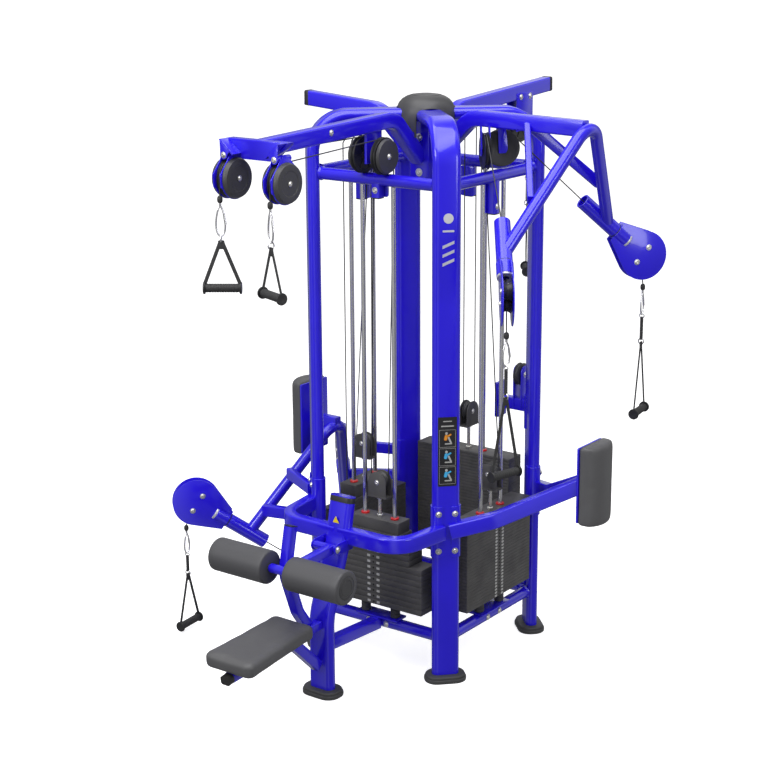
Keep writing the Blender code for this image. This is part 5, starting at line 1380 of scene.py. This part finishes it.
def bow(centre, across, radius, first, last, steps=14):
    """Part of a turn round a wheel, in degrees from across towards straight up."""
    turns = [math.radians(first + (last - first) * step / steps) for step in range(steps + 1)]
    return [Vector(centre) + Vector(across) * (radius * math.cos(turn)) +
            Vector((0.0, 0.0, radius * math.sin(turn))) for turn in turns]


def even(points, spacing=0.03):
    """The same route with points added on its long straights."""
    route = [points[0]]
    for before, after in zip(points, points[1:]):
        count = max(1, int((after - before).length / spacing))
        route += [before.lerp(after, (step + 1) / count) for step in range(count)]
    return route


def cable(name, points, side, body="", nodes=(), flip=1.0):
    run = [Vector((point[0], point[1] * flip, point[2])) for point in points]
    lean = Vector((0.37, 0.83, 0.41)).normalized()
    return shown(name, [swept(even(run), ring(0.0025, 10), lean)], coat, "dark_plastic", body, nodes,
                 STATIONS[side])


def spot(side, out, y, z):
    return tuple(STATIONS[side] @ Vector((out, y, z)))


OUT = (1.0, 0.0, 0.0)
ACROSS = (0.0, 1.0, 0.0)
for hand, flip in (("left", -1.0), ("right", 1.0)):
    over = bow(SWING_WHEEL, OUT, LAY, 0.0, 90.0)
    back = bow(HUB_WHEEL, OUT, LAY, 90.0, 180.0)
    top_run = cable("pulldown_run_" + hand, over + back, "pulldown",
                    nodes=["cable_pulldown"] if flip < 0 else [], flip=flip)
    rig.blend(top_run, "frame", "swivel_pulldown_" + hand, spot("pulldown", 0.960, flip * 0.105, 2.235),
             spot("pulldown", 1.060, flip * 0.120, 2.233))
    fall_run = cable("pulldown_fall_" + hand,
                     [Vector((1.1401, 0.120, 2.163)), Vector((1.1401, 0.120, 2.1035))], "pulldown",
                     flip=flip)
    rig.blend(fall_run, "swivel_pulldown_" + hand, "handle_pulldown_" + hand,
             spot("pulldown", 1.1401, flip * 0.120, 2.160), spot("pulldown", 1.1401, flip * 0.120, 2.106))
    leg = cable("pulldown_leg_" + hand,
                [back[-1], Vector((MID_SIDE, BLOCK_LAY, STACKS["pulldown"][3]))], "pulldown", flip=flip)
    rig.blend(leg, "frame", "stack_head_pulldown", spot("pulldown", 0.3, 0.0, 2.17),
             spot("pulldown", 0.334, 0.0, 0.81))
cable("pulldown_loop", bow((MID_SIDE, 0.0, STACKS["pulldown"][3]), ACROSS, BLOCK_LAY, 0.0, -180.0),
      "pulldown", "stack_head_pulldown")

guide_z = GUIDES["high"][0][2]
fall = INBOARD_WHEEL[2] - guide_z
for hand, flip in (("left", -1.0), ("right", 1.0)):
    run_out = math.hypot(0.242, 0.246)
    fall_angle = math.degrees(math.atan2(fall, run_out))
    slack = math.degrees(math.asin(LAY / math.hypot(fall, run_out)))
    level = inboard_heading(1.0)
    route = [guide("high", 1.0, GUIDE_LONG)[0], guide("high", 1.0, 0.020)[0]]
    route += bow(INBOARD_WHEEL, level, LAY, 90.0 - fall_angle - slack, 180.0)
    cable("high_run_" + hand, route, "high", "frame", nodes=["cable_high"] if flip < 0 else [], flip=flip)
    leg = cable("high_leg_" + hand,
                [route[-1], Vector((MID_SIDE + flip * BLOCK_LAY, 0.0, STACKS["high"][3]))], "high",
                flip=flip)
    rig.blend(leg, "frame", "stack_head_high", spot("high", 0.3, 0.0, 2.16),
             spot("high", 0.334, 0.0, 0.82))
    top = Vector(HANDLES["handle_high_right"][1])
    route = [guide("high", 1.0, 0.204)[0], guide("high", 1.0, 0.352)[0], top]
    out_run = cable("high_exit_" + hand, arc_path(route, 0.030, 8), "high", flip=flip)
    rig.blend(out_run, "head_high_" + hand, "handle_high_" + hand,
             spot("high", 0.745, flip * 0.534, 1.690), spot("high", 0.745, flip * 0.534, 1.592))

for hand, flip in (("left", -1.0), ("right", 1.0)):
    route = [guide("row", 1.0, GUIDE_LONG)[0], guide("row", 1.0, 0.020)[0], guide("row", 1.0, -0.250)[0],
             Vector((0.410, 0.030, 0.300)), Vector((0.410, 0.030, 2.160)), Vector((0.370, 0.027, 2.215)),
             Vector((0.3295, 0.012, 2.215)), Vector((0.2895, 0.008, 2.170))]
    cable("row_run_" + hand, arc_path(route, 0.012, 4), "row", "frame",
          nodes=["cable_row"] if flip < 0 else [], flip=flip)
    leg = cable("row_leg_" + hand,
                [route[-1], Vector((MID_SIDE + flip * BLOCK_LAY, 0.0, STACKS["row"][3]))], "row",
                flip=flip)
    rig.blend(leg, "frame", "stack_head_row", spot("row", 0.3, 0.0, 2.16), spot("row", 0.334, 0.0, 0.838))
    middle = guide("row", 1.0, 0.360)[0] + Vector((0.0, 0.0, 0.004))
    top = Vector(HANDLES["handle_row_right"][1])
    out_run = cable("row_exit_" + hand, arc_path([guide("row", 1.0, 0.204)[0], middle, top], 0.030, 8),
                    "row", flip=flip)
    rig.blend(out_run, "head_row_" + hand, "handle_row_" + hand, spot("row", 0.880, flip * 0.530, 0.560),
             spot("row", 0.903, flip * 0.556, 0.492))

back = bow((MID_SIDE - BLOCK_LAY + LAY, 0.0, 2.176), OUT, LAY, 90.0, 180.0)
cable("rear_run", bow(REAR_WHEEL, OUT, LAY, 0.0, 90.0) + back, "rear", "frame", nodes=["cable_rear"])
fall_run = cable("rear_fall", [Vector((0.7981, 0.0, 2.190)), Vector((0.7981, 0.0, 2.0795))], "rear")
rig.blend(fall_run, "frame", "handle_rear", spot("rear", 0.798, 0.0, 2.185),
         spot("rear", 0.798, 0.0, 2.085))
for name, out, high in (("rear_leg", -BLOCK_LAY, 2.176), ("rear_anchor", BLOCK_LAY, 2.258)):
    leg = cable(name, [Vector((MID_SIDE + out, 0.0, high)),
                       Vector((MID_SIDE + out, 0.0, STACKS["rear"][3]))], "rear")
    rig.blend(leg, "frame", "stack_head_rear", spot("rear", 0.334, 0.0, high - 0.01),
             spot("rear", 0.334, 0.0, 0.965))
for side in ("high", "row", "rear"):
    cable(side + "_loop", bow((MID_SIDE, 0.0, STACKS[side][3]), OUT, BLOCK_LAY, 180.0, 360.0), side,
          "stack_head_" + side)


# --- Placard and badge -----------------------------------------------------------------------
# An instruction placard of generic pictograms, a plain striped badge and a plain caution
# triangle are stuck to the powder coat.
placard_ink = coated("placard_print", (0.010, 0.010, 0.012), (0.014, 0.014, 0.016), 0.0, 0.30, 0.40,
                     900.0, 0.00001)
silver = coated("badge_silver", (0.70, 0.70, 0.72), (0.60, 0.60, 0.62), 0.3, 0.28, 0.36, 900.0, 0.00001)
yellow = coated("caution_yellow", (0.85, 0.62, 0.02), (0.80, 0.58, 0.02), 0.0, 0.35, 0.45, 900.0, 0.00001)
front_face = Matrix.Rotation(math.radians(UPRIGHTS["front"]), 4, "Z")
front_face = front_face @ Matrix.Translation((CORNER_OUT + 0.0255, 0.0, 0.0)) @ FACE_OUT
card = [plate(flat_oval(0.078, 0.292, 0.004, 4), 0.0003, (0.002, 1.004, 0.0002), Matrix.Identity(4), 0.0)]
shown("placard", card, placard_ink, "dark_plastic", matrix=front_face)
orange = coated("placard_orange", (0.80, 0.30, 0.03), (0.72, 0.26, 0.02), 0.0, 0.30, 0.40, 900.0, 0.00001)
cyan = coated("placard_cyan", (0.06, 0.45, 0.80), (0.05, 0.38, 0.70), 0.0, 0.30, 0.40, 900.0, 0.00001)
pale = []
warm = []
cool = []


def mark(outline, x, z, tilt=0.0):
    """A flat printed shape on the placard."""
    return plate(outline, 0.0002, (x, z, 0.0006), Matrix.Rotation(math.radians(tilt), 4, "Z"), 0.0)


pale += [mark(flat_oval(0.036, 0.004, 0.0015, 2), 0.002, 1.132),
         mark(flat_oval(0.052, 0.005, 0.0015, 2), 0.002, 1.112)]
for middle, group in ((1.060, warm), (0.982, cool), (0.904, cool)):
    for y in (-0.036, 0.036):
        pale.append(mark(flat_oval(0.066, 0.0010, 0.0004, 1), 0.002, middle + y))
    for x in (-0.031, 0.035):
        pale.append(mark(flat_oval(0.0010, 0.072, 0.0004, 1), x, middle))
    pale += [mark(ring(0.0055, 16), -0.002, middle + 0.022),
             mark(flat_oval(0.007, 0.030, 0.003, 3), 0.012, middle - 0.008, 24.0),
             mark(flat_oval(0.030, 0.005, 0.002, 3), 0.006, middle - 0.022)]
    group += [mark(flat_oval(0.013, 0.024, 0.005, 4), -0.004, middle + 0.004, -14.0),
              mark(flat_oval(0.022, 0.007, 0.003, 3), 0.008, middle + 0.012, 30.0)]
shown("placard_marks", pale, label, "chrome", matrix=front_face)
shown("placard_warm", warm, orange, "dark_plastic", matrix=front_face)
shown("placard_cool", cool, cyan, "dark_plastic", matrix=front_face)
stripes = [plate([(-0.020, level), (0.027, level + 0.020), (0.027, level + 0.032),
                  (-0.020, level + 0.012)], 0.0003, (0.0, 0.0, 0.0002), Matrix.Identity(4), 0.0)
           for level in (1.765, 1.800, 1.835)]
stripes.append(plate(flat_oval(0.046, 0.008, 0.002, 3), 0.0003, (0.0035, 1.905, 0.0002),
                     Matrix.Identity(4), 0.0))
stripes.append(plate(ring(0.020, 40), 0.0003, (0.0035, 1.955, 0.0002), Matrix.Identity(4), 0.0))
shown("badge", stripes, silver, "chrome", matrix=front_face)
triangle = plate([(-0.016, 0.712), (0.016, 0.712), (0.0, 0.740)], 0.0003, (0.0, 0.0, 0.0),
                 Matrix.Identity(4), 0.0)
shown("caution_mark", [triangle], yellow, "dark_plastic",
      matrix=pulldown @ Matrix.Translation((0.6345, 0.0, 0.0)) @ FACE_OUT)


# --- Finish ----------------------------------------------------------------------------------
# The visual model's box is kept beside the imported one.
with open("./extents.json", "w") as kept:
    json.dump({"cad": cad_box, "visual": [list(corner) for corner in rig.bounds()]}, kept)
